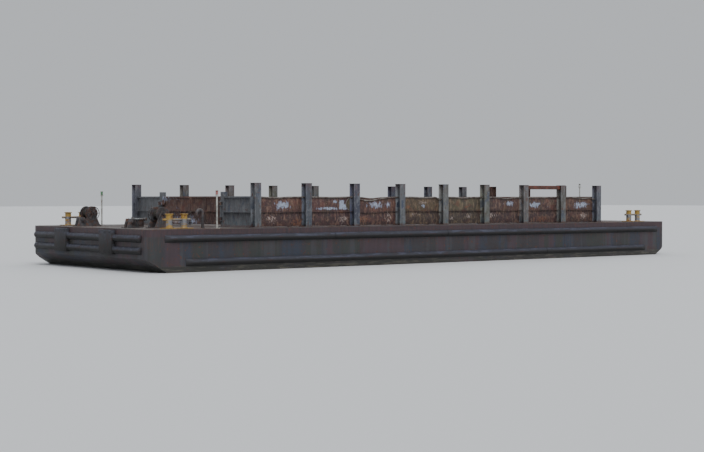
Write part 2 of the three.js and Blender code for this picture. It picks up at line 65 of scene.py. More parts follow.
Point = Vector | tuple[float, float, float]
Outline = Sequence[tuple[float, float]]
Material = bpy.types.Material
Piece = bpy.types.Object
Socket = bpy.types.NodeSocket


class Place(Enum):
    """Places on the barge that are each other's mirror image, with a sign for each."""

    @property
    def tag(self) -> str:
        """Return the place's name as the frame's nodes spell it."""
        return self.name.lower()


class Side(Place):
    """The two sides of the barge, with the sign of their Y."""

    PORT = 1
    STBD = -1


class End(Place):
    """The two ends of the barge, with the sign of their X."""

    BOW = 1
    STERN = -1


class Axis(Enum):
    """The frame's axes, as directions."""

    X = (1.0, 0.0, 0.0)
    Y = (0.0, 1.0, 0.0)
    Z = (0.0, 0.0, 1.0)


def linear(hex_colour: str) -> tuple[float, float, float, float]:
    """Turn an sRGB hex colour into the linear one that a shader takes.

    Args:
        hex_colour: the colour as #rrggbb.

    Returns:
        Linear red, green and blue, and full alpha.
    """
    channels = [int(hex_colour[i:i + 2], 16) / 255 for i in (1, 3, 5)]
    red, green, blue = (
        c / 12.92 if c <= 0.04045 else ((c + 0.055) / 1.055) ** 2.4 for c in channels)
    return red, green, blue, 1.0


class Shader:
    """A node material under construction, with the piece's own coordinates at hand.

    Real pits and brush marks are 2 to 4 mm wide. The finishes draw them 6 to 18 mm wide, because
    finer ones would not show in a picture of the barge.
    """

    def __init__(self, name: str) -> None:
        """Start a material.

        Args:
            name: the material's name.
        """
        self.material = bpy.data.materials.new(name)
        self.material.use_nodes = True
        self.tree = self.material.node_tree
        self.surface = self.tree.nodes["Principled BSDF"]
        self.place = self.add("ShaderNodeTexCoord").outputs["Object"]
        self.axes = self.add("ShaderNodeSeparateXYZ", {"Vector": self.place}).outputs

    def add(self, kind: str, inputs: dict | None = None, **settings: object) -> bpy.types.Node:
        """Add one node with its settings, values and links.

        Args:
            kind: the node's type name.
            inputs: a value or a linked socket for each input, by name or number.
            settings: the node's own properties.

        Returns:
            The new node.
        """
        node = self.tree.nodes.new(kind)
        for name, value in settings.items():
            setattr(node, name, value)
        for key, value in (inputs or {}).items():
            if isinstance(value, Socket):
                self.tree.links.new(value, node.inputs[key])
            else:
                node.inputs[key].default_value = value
        return node

    def patches(self, size_mm: float, level: float, soft: float = 0.02,
                drawn: Point = (1, 1, 1), shift: float = 0.0, turn: float = 0.0,
                where: Socket | None = None, detail: float = 7.0) -> Socket:
        """Make a mask of ragged patches.

        Args:
            size_mm: about how wide a patch is.
            level: the noise height a patch starts at: 0.5 covers half, 0.6 about a sixth.
            soft: how gradual a patch's edge is.
            drawn: how many times longer the patches are along each axis.
            shift: moves the pattern, so that two masks of one size differ.
            turn: turns the axes of drawn about Y, in degrees.
            where: a field from 0 to 1 that the patches gather in. It lifts the noise by 0.3.
            detail: how ragged the patches are.

        Returns:
            The mask, 1 within a patch.
        """
        place = self.add("ShaderNodeMapping", {
            "Vector": self.place, "Location": (shift, shift, shift), "Scale": drawn,
            "Rotation": (0, math.radians(turn), 0)}, vector_type="TEXTURE")
        cloud = self.add("ShaderNodeTexNoise", {
            "Vector": place.outputs["Vector"], "Scale": 1 / (size_mm * MM),
            "Detail": detail, "Roughness": 0.62}).outputs["Fac"]
        if where is not None:
            cloud = self.add("ShaderNodeMath", {0: where, 1: 0.3, 2: cloud},
                             operation="MULTIPLY_ADD").outputs[0]
        return self.add("ShaderNodeMapRange", {
            "Value": cloud, "From Min": level - soft, "From Max": level + soft}).outputs["Result"]

    def strip(self, value: Socket, low: float, high: float, fade: float = 0.01) -> Socket:
        """Make a mask of where a value lies within a range.

        Args:
            value: the value, such as a height.
            low: the range's lower end.
            high: the range's upper end.
            fade: how far outside the range the mask falls to 0.

        Returns:
            The mask, 1 within the range.
        """
        off = self.add("ShaderNodeMath", {0: value, 1: (low + high) / 2}, operation="SUBTRACT")
        far = self.add("ShaderNodeMath", {0: off.outputs[0]}, operation="ABSOLUTE").outputs[0]
        half = (high - low) / 2
        return self.add("ShaderNodeMapRange", {
            "Value": far, "From Min": half + fade, "From Max": half}).outputs["Result"]

    def all_of(self, *masks: Socket | float) -> Socket | float:
        """Multiply masks.

        Args:
            masks: the masks, and numbers from 0 to 1 that weaken them.

        Returns:
            The product, which is 1 where all of them are.
        """
        product = masks[0]
        for mask in masks[1:]:
            product = self.add("ShaderNodeMath", {0: product, 1: mask},
                               operation="MULTIPLY").outputs[0]
        return product

    def colours(self, ground: str | Socket, *coats: tuple[Socket | float | str, ...]) -> Socket:
        """Lay colours over each other.

        Args:
            ground: the lowest colour.
            coats: each coat's masks, as all_of takes them, and then its colour. The lowest coat
                comes first.

        Returns:
            The colour that shows.
        """
        shown = ground
        for *masks, colour in coats:
            pair = {6: shown, 7: colour}
            values = {k: linear(v) if isinstance(v, str) else v for k, v in pair.items()}
            shown = self.add("ShaderNodeMix", {0: self.all_of(*masks), **values},
                             data_type="RGBA").outputs[2]
        return shown

    def levels(self, ground: float, *coats: tuple[Socket, float]) -> Socket | float:
        """Lay plain numbers over each other, such as roughnesses.

        Args:
            ground: the lowest number.
            coats: each coat's mask and number. The lowest coat comes first.

        Returns:
            The number that holds at the surface.
        """
        shown: float | Socket = ground
        for mask, value in coats:
            shown = self.add("ShaderNodeMix", {0: mask, 2: shown, 3: value},
                             data_type="FLOAT").outputs[0]
        return shown

    def relief(self, *grains: tuple[Socket, float]) -> None:
        """Give the surface relief.

        Args:
            grains: each mask that stands up, with its height in millimetres.
        """
        normal: Socket | None = None
        for mask, height_mm in grains:
            inputs = {"Height": mask, "Distance": abs(height_mm) * MM, "Strength": 1.0}
            if normal is not None:
                inputs["Normal"] = normal
            normal = self.add("ShaderNodeBump", inputs, invert=height_mm < 0).outputs["Normal"]
        self.tree.links.new(normal, self.surface.inputs["Normal"])

    def done(self, colour: Socket | str, roughness: Socket | float,
             metallic: Socket | float = 0.0) -> Material:
        """Connect the surface.

        Args:
            colour: the base colour.
            roughness: the roughness.
            metallic: how far the surface is bare metal.

        Returns:
            The finished material.
        """
        wanted = {"Base Color": linear(colour) if isinstance(colour, str) else colour,
                  "Roughness": roughness, "Metallic": metallic}
        for name, value in wanted.items():
            if isinstance(value, Socket):
                self.tree.links.new(value, self.surface.inputs[name])
            else:
                self.surface.inputs[name].default_value = value
        return self.material


@dataclass(frozen=True)
class BitumenHullPaint:
    """Bitumen paint rolled on mill plate: a matt film that ages in broad upright bands.

    Old rust bleeds through in soft runs, and weed and dirt lie in level streaks just above the
    waterline. Under it the film gives way to red antifouling paint with slime and barnacles.
    """

    film: str = "#323136"
    blue_cast: str = "#2e3440"
    red_cast: str = "#40333a"
    green_cast: str = "#313534"
    light_cast: str = "#3d3e43"
    sheer_strake: str = "#413238"
    sheer_stain: str = "#352d31"
    # Painted highlight along the deck edge
    plate_edge: str = "#67605c"
    rust: str = "#5a3b31"
    dark_rust: str = "#332a29"
    dirt: str = "#2f2e2a"
    silt: str = "#4e4b42"
    antifouling: str = "#5d2c26"
    dull_fouling: str = "#46302c"
    slime: str = "#4d4d3a"
    barnacle: str = "#a39d8c"
    sheer_foot: float = 2.35
    rails: tuple[float, float] = (2.10, 1.21)
    dirt_top: float = 1.2
    weed_depth: float = 0.25
    highlight_depth: float = 0.012

    def material(self) -> Material:
        """Build the paint.

        Returns:
            The material.
        """
        s = Shader("bitumen_hull_paint")
        height = s.axes["Z"]
        upright = (1, 1, 45)
        sheer = s.strip(height, self.sheer_foot, DECK, 0.06)
        low = s.strip(height, WATERLINE, self.dirt_top, 0.04)
        colour = s.colours(
            self.film,
            (s.patches(1500, 0.49, 0.015, upright, 3.1, detail=1.5), self.blue_cast),
            (s.patches(1200, 0.59, 0.015, upright, 7.7, detail=1.5), self.red_cast),
            (s.patches(1300, 0.56, 0.02, upright, 5.3, detail=1.5), self.green_cast),
            (s.patches(420, 0.6, 0.03, upright, 2.2, detail=2), 0.8, self.light_cast),
            (s.patches(160, 0.52, 0.1, (1, 1, 25), 6.2), 0.35, self.dark_rust),
            (sheer, self.sheer_strake),
            (sheer, s.patches(130, 0.52, 0.08, (1, 1, 12), 4.1), self.sheer_stain),
            (s.patches(700, 0.6, 0.06), 0.6, self.dark_rust),
            (s.patches(110, 0.63, 0.02), 0.8, self.rust),
        )
        runs = s.patches(45, 0.53, 0.06, (1, 1, 16), 1.9)
        for top in (DECK, *self.rails):
            below = s.strip(height, top - 0.05, top, 0.35)
            colour = s.colours(colour, (runs, below, 0.3, self.rust))
        under = s.strip(height, -1, WATERLINE, 0.01)
        weedy = s.strip(height, WATERLINE - self.weed_depth, WATERLINE, 0.45)
        crusted = s.patches(600, 0.5, 0.1, shift=4.0)
        colour = s.colours(
            colour,
            # Painted highlight: a pale line along the top of the hull, where the deck edge would
            # catch light
            (s.strip(height, DECK - self.highlight_depth, DECK + 1, 0.004), self.plate_edge),
            (low, s.patches(240, 0.42, 0.1, (7, 7, 1)), self.dirt),
            (low, s.patches(75, 0.56, 0.04, (9, 9, 1), 6.3), self.silt),
            (under, self.antifouling),
            (under, s.patches(900, 0.5, 0.12, shift=3.0), 0.5, self.dull_fouling),
            (under, s.patches(320, 0.72, 0.1, (2, 2, 1), 2.2, where=weedy), 0.8, self.slime),
            (under, s.patches(260, 0.62, 0.03, shift=9.0), 0.6, self.dark_rust),
            (under, s.patches(25, 0.88, 0.02, where=crusted), 0.8, self.barnacle),
        )
        pits = s.patches(14, 0.5, 0.2)
        flakes = s.patches(110, 0.63, 0.04)
        s.relief((pits, 0.8), (flakes, -1.2), (s.patches(300, 0.5, 0.4), 5))
        return s.done(colour, s.levels(0.56, (pits, 0.68), (low, 0.42), (flakes, 0.85)))


@dataclass(frozen=True)
class ScuffedRailWithPaintedLight:
    """Heavy pipe rubbed bare by fenders: blue-grey on top, partly a painted highlight, and painted
    shade below.
    """

    film: str = "#2b292b"
    bare: str = "#363741"
    # Bare steel streaks on top, partly a painted highlight
    bright: str = "#4a4c5b"
    rust: str = "#42302d"
    # Painted shade: the near-black of the faces that look down
    under: str = "#151313"

    def material(self) -> Material:
        """Build the steel.

        Returns:
            The material.
        """
        s = Shader("scuffed_rail_painted_light")
        normal = s.add("ShaderNodeNewGeometry").outputs["Normal"]
        upward = s.add("ShaderNodeSeparateXYZ", {"Vector": normal}).outputs["Z"]
        # Faces that look up: rubbed bare steel, and brightened as a painted highlight too
        crown = s.strip(upward, 0.45, 2.0, 0.5)
        # Painted shade: the faces that look down take the near-black colour
        below = s.strip(upward, -2.0, -0.3, 0.4)
        rubbed = s.all_of(crown, s.patches(900, 0.38, 0.1, (2.5, 1, 1)))
        bright = s.all_of(crown, s.patches(110, 0.56, 0.04, (7, 1, 1)))
        rust = s.all_of(s.patches(220, 0.58, 0.03, (2, 1, 1), 4.0), 0.8)
        colour = s.colours(self.film, (rust, self.rust), (rubbed, self.bare),
                           (bright, self.bright), (below, self.under))
        s.relief((s.patches(18, 0.5, 0.2), 0.8), (s.patches(120, 0.5, 0.3, (4, 1, 1)), 3))
        rough = s.levels(0.72, (rubbed, 0.58), (bright, 0.5), (rust, 0.85))
        return s.done(colour, rough, s.levels(0.0, (rubbed, 0.1), (bright, 0.25)))


@dataclass(frozen=True)
class PeelingPanelPaint:
    """Layers of old paint that peel off rusted plate.

    Brushed maroon and brown films lie in zones, crazed and stained by rust that runs down them.
    Ragged scabs of a pale older coat gather where the panel's wear attribute says, in red, with
    orange bloom in green and scraped scars in blue. Each panel's own cast is in its tint attribute.
    """

    plum: str = "#3d2e32"
    ember: str = "#6a4034"
    moss: str = "#4c4736"
    wash: str = "#c0a184"
    streak: str = "#2a2021"
    fleck: str = "#8d827c"
    orange: str = "#7d5440"
    pale: str = "#7b8296"
    chalk: str = "#a0abbf"
    scar: str = "#a3948d"
    rib_line: float = 0.58
    scrape_slope: float = 26

    def material(self) -> Material:
        """Build the paint.

        Returns:
            The material.
        """
        s = Shader("peeling_panel_paint")
        tint, worn = (s.add("ShaderNodeAttribute", attribute_name=name).outputs["Color"]
                      for name in ("tint", "wear"))
        pale, bloom, scar = s.add("ShaderNodeSeparateColor", {0: worn}).outputs[:3]
        lower = s.strip(s.axes["Z"], DECK, DECK + self.rib_line, 0.02)
        film = s.patches(230, 0.5, 0.03, (1, 1, 1.4), 8.4)
        stained = s.patches(520, 0.5, 0.08, shift=4.4)
        runs = s.all_of(stained, s.patches(48, 0.52, 0.05, (1, 1, 10), 0.7))
        washes = s.patches(75, 0.59, 0.03, (1, 1, 5), 3.7)
        flecked = s.patches(600, 0.5, 0.06, shift=9.1)
        scab = s.patches(85, 0.72, 0.02, (1, 1, 2.4), 2.6, where=pale)
        core = s.patches(45, 0.77, 0.03, (1, 1, 2), 6.6, where=pale)
        rusty = s.patches(45, 0.8, 0.02, (1, 1, 1.3), 6.2, where=bloom)
        scraped = s.patches(60, 0.85, 0.02, (1, 1, 1.8), 5.5, self.scrape_slope, scar)
        scored = s.patches(30, 0.87, 0.02, (1, 1, 4), 6.5, self.scrape_slope, scar)
        washed = s.colours(tint, (0.22, self.wash))
        colour = s.colours(
            tint,
            (s.patches(600, 0.5, 0.03, shift=1.2), 0.45, self.plum),
            (s.patches(450, 0.56, 0.03, (1, 1, 0.8), 7.3), 0.5, self.ember),
            (s.patches(450, 0.58, 0.04, shift=5.6), 0.45, self.moss),
            (lower, 0.42, self.plum),
            (lower, s.patches(95, 0.55, 0.03, (1, 1, 1.3), 9.9), 0.6, self.streak),
            (film, 0.25, self.streak),
            (s.patches(120, 0.56, 0.03, (1, 1, 1.6), 3.0), 0.5, washed),
            (washes, 0.8, washed),
            (runs, 0.5, self.streak),
            (rusty, 0.8, self.orange),
            (flecked, s.patches(26, 0.64, 0.02, (1, 1, 2)), 0.6, self.fleck),
            (scab, self.pale),
            (scab, core, self.chalk),
            (runs, scab, 0.45, tint),
            (scab, s.patches(32, 0.58, 0.02, (1, 1, 1.5), 11.3), 0.7, washed),
            (scraped, 0.75, self.scar),
            (scored, 0.75, self.scar),
            (s.patches(22, 0.63, 0.02, shift=1.4), 0.6, self.streak),
        )
        s.relief((s.patches(9, 0.5, 0.25), 0.6), (film, 0.6), (scab, 0.8), (rusty, -0.7))
        return s.done(colour, s.levels(0.82, (film, 0.66), (scab, 0.5), (rusty, 0.92)))


@dataclass(frozen=True)
class ChippedPostPaint:
    """Marine gloss on rolled steel piles, faded to satin, with grime runs and a worn foot.

    Each post's own colour is in its tint attribute. One post on the port side has a scraped place
    that bares an older blue-grey coat.
    """

    primer: str = "#76787b"
    slate: str = "#3f4553"
    teal: str = "#55656a"
    rust: str = "#563d36"
    grime: str = "#37332f"
    head_stain: str = "#5a4446"
    lilac: str = "#807d8a"
    head: tuple[float, float] = (1.64, 1.74)
    scraped_x: tuple[float, float] = (2.41, 2.48)
    scraped_up: tuple[float, float] = (0.8, 0.95)

    def material(self) -> Material:
        """Build the paint.

        Returns:
            The material.
        """
        s = Shader("chipped_post_paint")
        height = s.axes["Z"]
        foot = s.strip(height, DECK, DECK + 0.12, 0.3)
        base = s.strip(height, DECK, DECK + 0.05, 0.06)
        head = s.strip(height, *(DECK + up for up in self.head), 0.3)
        scraped = s.all_of(s.strip(s.axes["X"], *self.scraped_x, 0.07),
                           s.strip(height, *(DECK + up for up in self.scraped_up), 0.17),
                           s.strip(s.axes["Y"], 0, HALF_BEAM))
        worn = s.patches(190, 0.55, 0.05, (1, 1, 2.5), 4.4)
        chips = s.patches(55, 0.62, 0.02, (1, 1, 1.8), 1.1)
        rust = s.patches(120, 0.62, 0.02, (1, 1, 2), 9.9)
        grime = s.patches(40, 0.53, 0.08, (1, 1, 14), 2.0)
        tint = s.add("ShaderNodeAttribute", attribute_name="tint").outputs["Color"]
        colour = s.colours(
            tint,
            (grime, 0.4, self.grime),
            (s.patches(420, 0.58, 0.02, (1, 1, 1.6), 2.7), 0.75, self.slate),
            (worn, 0.45, self.primer),
            (foot, s.patches(110, 0.54, 0.05, shift=3.3), 0.6, self.teal),
            (chips, 0.7, self.primer),
            (rust, 0.8, self.rust),
            (base, s.patches(60, 0.45, 0.05), 0.7, self.rust),
            (head, s.patches(130, 0.5, 0.1, (1, 1, 2), 12.0), 0.55, self.head_stain),
            (s.patches(70, 0.66, 0.03, (1, 1, 2), 3.0, where=scraped), self.lilac),
            (s.patches(70, 0.68, 0.02, (1, 1, 2), 3.0, where=scraped), self.slate),
        )
        s.relief((s.patches(12, 0.5, 0.25), 0.5), (chips, -0.5), (rust, -0.8))
        return s.done(colour, s.levels(0.5, (worn, 0.6), (rust, 0.85), (grime, 0.65)))


@dataclass(frozen=True)
class TroddenDeckPlate:
    """Deck plate driven over for years: thin grey-brown paint, tyre lanes and rust bloom."""

    film: str = "#585250"
    cool: str = "#505257"
    brown: str = "#55483f"
    rust: str = "#60453a"
    dark_rust: str = "#40342f"
    rubber: str = "#353333"
    bare: str = "#6d6966"
    silt: str = "#79726a"
    damp: str = "#454243"
    lanes: tuple[float, ...] = (-2.6, -0.7, 0.9, 2.8)
    lane_half: float = 0.22

    def material(self) -> Material:
        """Build the deck.

        Returns:
            The material.
        """
        s = Shader("trodden_deck_plate")
        zones = s.patches(2400, 0.5, 0.18, shift=8.0, detail=2)
        rust = s.patches(300, 0.71, 0.07, (1.5, 1, 1), where=zones)
        pits = s.patches(90, 0.8, 0.05, shift=5.0, where=rust)
        pool = s.patches(1500, 0.575, 0.008, shift=6.0, detail=4)
        tidemark = s.patches(1500, 0.555, 0.012, shift=6.0, detail=4)
        colour = s.colours(
            self.film,
            (s.patches(2600, 0.5, 0.12, shift=4.0), self.cool),
            (s.patches(800, 0.52, 0.08, shift=1.0), self.brown),
            (rust, 0.7, self.rust),
            (pits, 0.7, self.dark_rust),
            (s.patches(330, 0.6, 0.06, shift=3.0), 0.4, self.dark_rust),
            (tidemark, 0.17, self.silt),
            (pool, 0.6, self.damp),
        )
        tread = s.patches(240, 0.45, 0.1, (9, 1, 1))
        drag = s.patches(20, 0.64, 0.03, (16, 1, 1), 2.0)
        for lane in self.lanes:
            worn = s.strip(s.axes["Y"], lane - self.lane_half, lane + self.lane_half, 0.15)
            colour = s.colours(colour, (worn, tread, 0.55, self.rubber),
                               (worn, drag, 0.5, self.bare))
        s.relief((s.patches(16, 0.5, 0.2), 0.8), (rust, -0.6), (s.patches(600, 0.5, 0.4), 5))
        return s.done(colour, s.levels(0.76, (pool, 0.6), (rust, 0.9)))


@dataclass(frozen=True)
class WornGearPaint:
    """Deck gear brushed with thick paint: glossy where it lasts, rusted through at the chips."""

    name: str
    film: str
    worn: str
    rust: str = "#5c4034"
    chip_level: float = 0.58
    gloss: float = 0.42

    def material(self) -> Material:
        """Build the paint.

        Returns:
            The material.
        """
        s = Shader(self.name)
        worn = s.patches(160, 0.53, 0.05, shift=6.0)
        bleed = s.patches(240, self.chip_level - 0.06, 0.1, shift=8.0)
        chips = s.patches(42, self.chip_level + 0.17, 0.03, shift=2.4, where=bleed)
        runs = s.patches(35, 0.57, 0.05, (1, 1, 10), 1.7)
        colour = s.colours(self.film, (worn, self.worn), (bleed, 0.3, self.rust),
                           (runs, 0.4, self.rust), (chips, 0.85, self.rust))
        s.relief((s.patches(7, 0.5, 0.25), 0.4), (chips, -0.6))
        return s.done(colour, s.levels(self.gloss, (worn, self.gloss + 0.15), (chips, 0.85)))


@dataclass(frozen=True)
class RopeBrightBitt:
    """Yellow bitt paint polished off by use: bare steel at the waist, with rust around it."""

    film: str = "#a5853a"
    faded: str = "#8c7440"
    rust: str = "#71452f"
    bare: str = "#8a8a8e"
    waist: tuple[float, float] = (0.08, 0.34)

    def material(self) -> Material:
        """Build the paint.

        Returns:
            The material.
        """
        s = Shader("rope_bright_bitt")
        height = s.axes["Z"]
        low, high = (DECK + up for up in self.waist)
        foot = s.strip(height, DECK, low - 0.04, 0.03)
        waist = s.strip(height, low, high, 0.05)
        bare = s.all_of(waist, s.patches(120, 0.46, 0.06, (3, 3, 1)))
        knocked = s.patches(260, 0.52, 0.12, shift=5.0)
        rust = s.patches(48, 0.75, 0.03, shift=3.0, where=knocked)
        colour = s.colours(
            self.film,
            (s.patches(300, 0.55, 0.1), self.faded),
            (foot, s.patches(110, 0.54, 0.08, shift=7.0), 0.6, self.rust),
            (rust, self.rust),
            (bare, self.bare),
        )
        s.relief((s.patches(8, 0.5, 0.25), 0.4), (rust, -0.5))
        rough = s.levels(0.5, (rust, 0.85), (bare, 0.35))
        return s.done(colour, rough, s.levels(0.0, (bare, 0.8)))


@dataclass(frozen=True)
class BareMetal:
    """Uncoated metal in one tone, dulled by weather in a cloudy pattern."""

    name: str
    colour: str
    dull: str
    roughness: float = 0.45
    metallic: float = 0.85
    cloud_mm: float = 60

    def material(self) -> Material:
        """Build the metal.

        Returns:
            The material.
        """
        s = Shader(self.name)
        dull = s.patches(self.cloud_mm, 0.5, 0.08)
        s.relief((s.patches(6, 0.5, 0.25), 0.3))
        return s.done(s.colours(self.colour, (dull, self.dull)),
                      s.levels(self.roughness, (dull, self.roughness + 0.2)), self.metallic)


@dataclass(frozen=True)
class LampGlass:
    """Pressed lamp glass: a clear coloured body with a wet shine, greyed by salt and soot."""

    name: str
    colour: str
    grime: str = "#6b6660"

    def material(self) -> Material:
        """Build the glass.

        Returns:
            The material.
        """
        s = Shader(self.name)
        s.surface.inputs["IOR"].default_value = 1.5
        s.surface.inputs["Coat Weight"].default_value = 1.0
        s.surface.inputs["Coat Roughness"].default_value = 0.03
        grime = s.patches(30, 0.55, 0.08)
        return s.done(s.colours(self.colour, (grime, self.grime)), s.levels(0.08, (grime, 0.35)))


class Finishes:
    """Every finish on the barge, each built once."""

    def __init__(self) -> None:
        """Build the materials."""
        self.hull = BitumenHullPaint().material()
        self.rail = ScuffedRailWithPaintedLight().material()
        self.panel = PeelingPanelPaint().material()
        self.post = ChippedPostPaint().material()
        self.deck = TroddenDeckPlate().material()
        self.bitt = RopeBrightBitt().material()
        self.gear = WornGearPaint("black_gear_enamel", "#2f3033", "#45464a").material()
        self.beam = WornGearPaint("rusted_beam_primer", "#6b382e", "#7a4635", "#4a322b",
                                  chip_level=0.52, gloss=0.7).material()
        self.edge = WornGearPaint("chafed_edge_pipe", "#66605b", "#7f7973", "#4b3935",
                                  chip_level=0.56, gloss=0.6).material()
        self.lid = WornGearPaint("grey_hatch_enamel", "#5f6567", "#767b7c").material()
        self.pole = WornGearPaint("white_lamp_enamel", "#b9b9b3", "#93948f",
                                  chip_level=0.62).material()
        self.wire = BareMetal("greased_wire_rope", "#4e4a45", "#2d2a27", 0.5, 0.6, 25).material()
        self.zinc = BareMetal("cast_zinc_anode", "#9b9d9c", "#77756f", 0.6, 0.5).material()
        self.pin = BareMetal("rubbed_pin_steel", "#7d7c7b", "#54443c", 0.4, 0.8).material()
        self.glass = {
            "side_lamp_port": LampGlass("red_lamp_glass", "#a8231d").material(),
            "side_lamp_stbd": LampGlass("green_lamp_glass", "#1f8a4c").material(),
            "stern_lamp": LampGlass("clear_lamp_glass", "#d9dcd8").material(),
        }


def round_off(part: BMesh, width: float, angle: float = 30) -> None:
    """Bevel a part's sharp edges.

    Args:
        part: the part.
        width: the bevel's width, or 0 to leave the edges sharp.
        angle: the sharpest angle in degrees that is left as it is.
    """
    if width <= 0:
        return
    sharp = [e for e in part.edges
             if e.is_manifold and e.calc_face_angle(0.0) > math.radians(angle)]
    bmesh.ops.bevel(part, geom=sharp, offset=width, offset_type="OFFSET", affect="EDGES",
                    segments=2, profile=0.5, material=-1, clamp_overlap=True)


def facing(axis: Axis, at: Point) -> Matrix:
    """Return the placing that turns a part's Z to an axis and moves its origin to a point."""
    return Matrix.LocRotScale(at, Vector(axis.value).to_track_quat("Z", "Y"), None)


def circle(centre: Point, radius: float, count: int, axis: Axis = Axis.Z,
           first: float = 0.0, across: float | None = None) -> list[Vector]:
    """Spread points evenly round a circle or an oval.

    Args:
        centre: its middle.
        radius: its radius, or an oval's half length along X.
        count: how many points it has.
        axis: the axis that it turns about, Z or Y.
        first: how many steps from X the first point lies.
        across: an oval's half width.

    Returns:
        The points.
    """
    along = Vector(Axis.X.value) * radius
    side = Vector((Axis.Y if axis is Axis.Z else Axis.Z).value) * (across or radius)
    turns = [math.tau * (k + first) / count for k in range(count)]
    return [Vector(centre) + along * math.cos(a) + side * math.sin(a) for a in turns]


def wander(*seeds: float) -> float:
    """Return smooth noise, from about -1 to 1, for one to three numbers that vary with place."""
    return noise.noise(Vector((*seeds, 0.37, 0.71)[:3]))


def span(node: str) -> tuple[Vector, Vector, Vector]:
    """Return a node's lowest corner, its highest corner and its middle."""
    low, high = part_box(node)
    return low, high, (low + high) / 2


class Form:
    """A mesh put together from simple solids, each with its own edges rounded."""

    def __init__(self) -> None:
        """Start an empty form."""
        self.bm = bmesh.new()
        self.tint = self.bm.loops.layers.float_color.new("tint")

    def take(self, part: BMesh, place: Matrix | None = None, tint: str = UNTINTED) -> None:
        """Move a part in.

        Args:
            part: the part, which is used up.
            place: where it goes.
            tint: the colour of its tint attribute.
        """
        if place is not None:
            part.transform(place)
        scratch = bpy.data.meshes.new("scratch")
        part.to_mesh(scratch)
        part.free()
        known = len(self.bm.faces)
        self.bm.from_mesh(scratch)
        bpy.data.meshes.remove(scratch)
        self.bm.faces.ensure_lookup_table()
        colour = linear(tint)
        for face in self.bm.faces[known:]:
            for loop in face.loops:
                loop[self.tint] = colour

    def block(self, low: Point, high: Point, edge: float = 0.004, tint: str = UNTINTED) -> None:
        """Add a box.

        Args:
            low: its lowest corner.
            high: its highest corner.
            edge: how far its edges are rounded.
            tint: the colour of its tint attribute.
        """
        size = [b - a for a, b in zip(low, high)]
        middle = [(a + b) / 2 for a, b in zip(low, high)]
        part = bmesh.new()
        bmesh.ops.create_cube(part, size=1.0, matrix=Matrix.LocRotScale(middle, None, size))
        round_off(part, edge)
        self.take(part, tint=tint)

    def rod(self, start: Point, end: Point, radius: float, sides: int = 24,
            edge: float = 0.004) -> None:
        """Add a round bar.

        Args:
            start: the middle of its one end.
            end: the middle of its other end.
            radius: its radius.
            sides: how many flat sides it has.
            edge: how far its edges are rounded.
        """
        start, end = Vector(start), Vector(end)
        run = end - start
        part = bmesh.new()
        bmesh.ops.create_cone(
            part, cap_ends=True, segments=sides, radius1=radius, radius2=radius,
            depth=run.length,
            matrix=Matrix.LocRotScale((start + end) / 2, run.to_track_quat("Z", "Y"), None))
        round_off(part, edge)
        self.take(part)

    def studs(self, feet: Sequence[Vector], radius: float, height: float, sides: int = 6) -> None:
        """Add upright studs or bars.

        Args:
            feet: the middle of each one's foot.
            radius: their radius.
            height: their height.
            sides: how many flat sides they have.
        """
        for foot in feet:
            self.rod(foot, foot + Vector((0, 0, height)), radius, sides, 0)

    def prism(self, outline: Outline, depth: float, place: Matrix, edge: float = 0.004,
              tint: str = UNTINTED) -> None:
        """Add an outline drawn in X and Y, extruded along Z and then placed.

        Args:
            outline: its corners.
            depth: how far it is extruded.
            place: where it goes.
            edge: how far its edges are rounded.
            tint: the colour of its tint attribute.
        """
        part = bmesh.new()
        face = part.faces.new([part.verts.new((a, b, 0)) for a, b in outline])
        grown = bmesh.ops.extrude_face_region(part, geom=[face])["geom"]
        risen = [v for v in grown if isinstance(v, bmesh.types.BMVert)]
        bmesh.ops.translate(part, verts=risen, vec=(0, 0, depth))
        bmesh.ops.recalc_face_normals(part, faces=part.faces)
        round_off(part, edge)
        self.take(part, place, tint)

    def turned(self, profile: Outline, place: Matrix, steps: int = 48) -> None:
        """Add a closed profile turned about Z and then placed.

        Args:
            profile: the radius and the height of each of its corners.
            place: where it goes.
            steps: how many steps it takes round.
        """
        part = bmesh.new()
        verts = [part.verts.new((r, 0, z)) for r, z in profile]
        edges = [part.edges.new((a, b)) for a, b in zip(verts, verts[1:] + verts[:1])]
        bmesh.ops.spin(part, geom=verts + edges, cent=(0, 0, 0), axis=(0, 0, 1),
                       dvec=(0, 0, 0), angle=math.tau, steps=steps, use_merge=True)
        bmesh.ops.remove_doubles(part, verts=part.verts, dist=SAME_POINT)
        bmesh.ops.dissolve_degenerate(part, edges=part.edges, dist=SAME_POINT / 10)
        bmesh.ops.recalc_face_normals(part, faces=part.faces)
        self.take(part, place)

    def pipe(self, points: Sequence[Vector], radius: float, sides: int = 12,
             closed: bool = False) -> None:
        """Add a round bar bent along points.

        Args:
            points: the points that its middle follows.
            radius: its radius.
            sides: how many flat sides it has.
            closed: whether its end meets its start, as in a ring.
        """
        part = bmesh.new()
        rings = []
        count = len(points)
        for i, point in enumerate(points):
            before = points[i - 1] if i or closed else point
            after = points[(i + 1) % count] if i + 1 < count or closed else point
            turn = (after - before).to_track_quat("Z", "Y")
            made = bmesh.ops.create_circle(part, segments=sides, radius=radius,
                                           matrix=Matrix.LocRotScale(point, turn, None))
            rings.append([e for e in part.edges if all(v in made["verts"] for v in e.verts)])
        pairs = list(zip(rings, rings[1:])) + ([(rings[-1], rings[0])] if closed else [])
        for near, far in pairs:
            bmesh.ops.bridge_loops(part, edges=near + far)
        if not closed:
            bmesh.ops.holes_fill(part, edges=rings[0] + rings[-1], sides=0)
        bmesh.ops.recalc_face_normals(part, faces=part.faces)
        self.take(part)

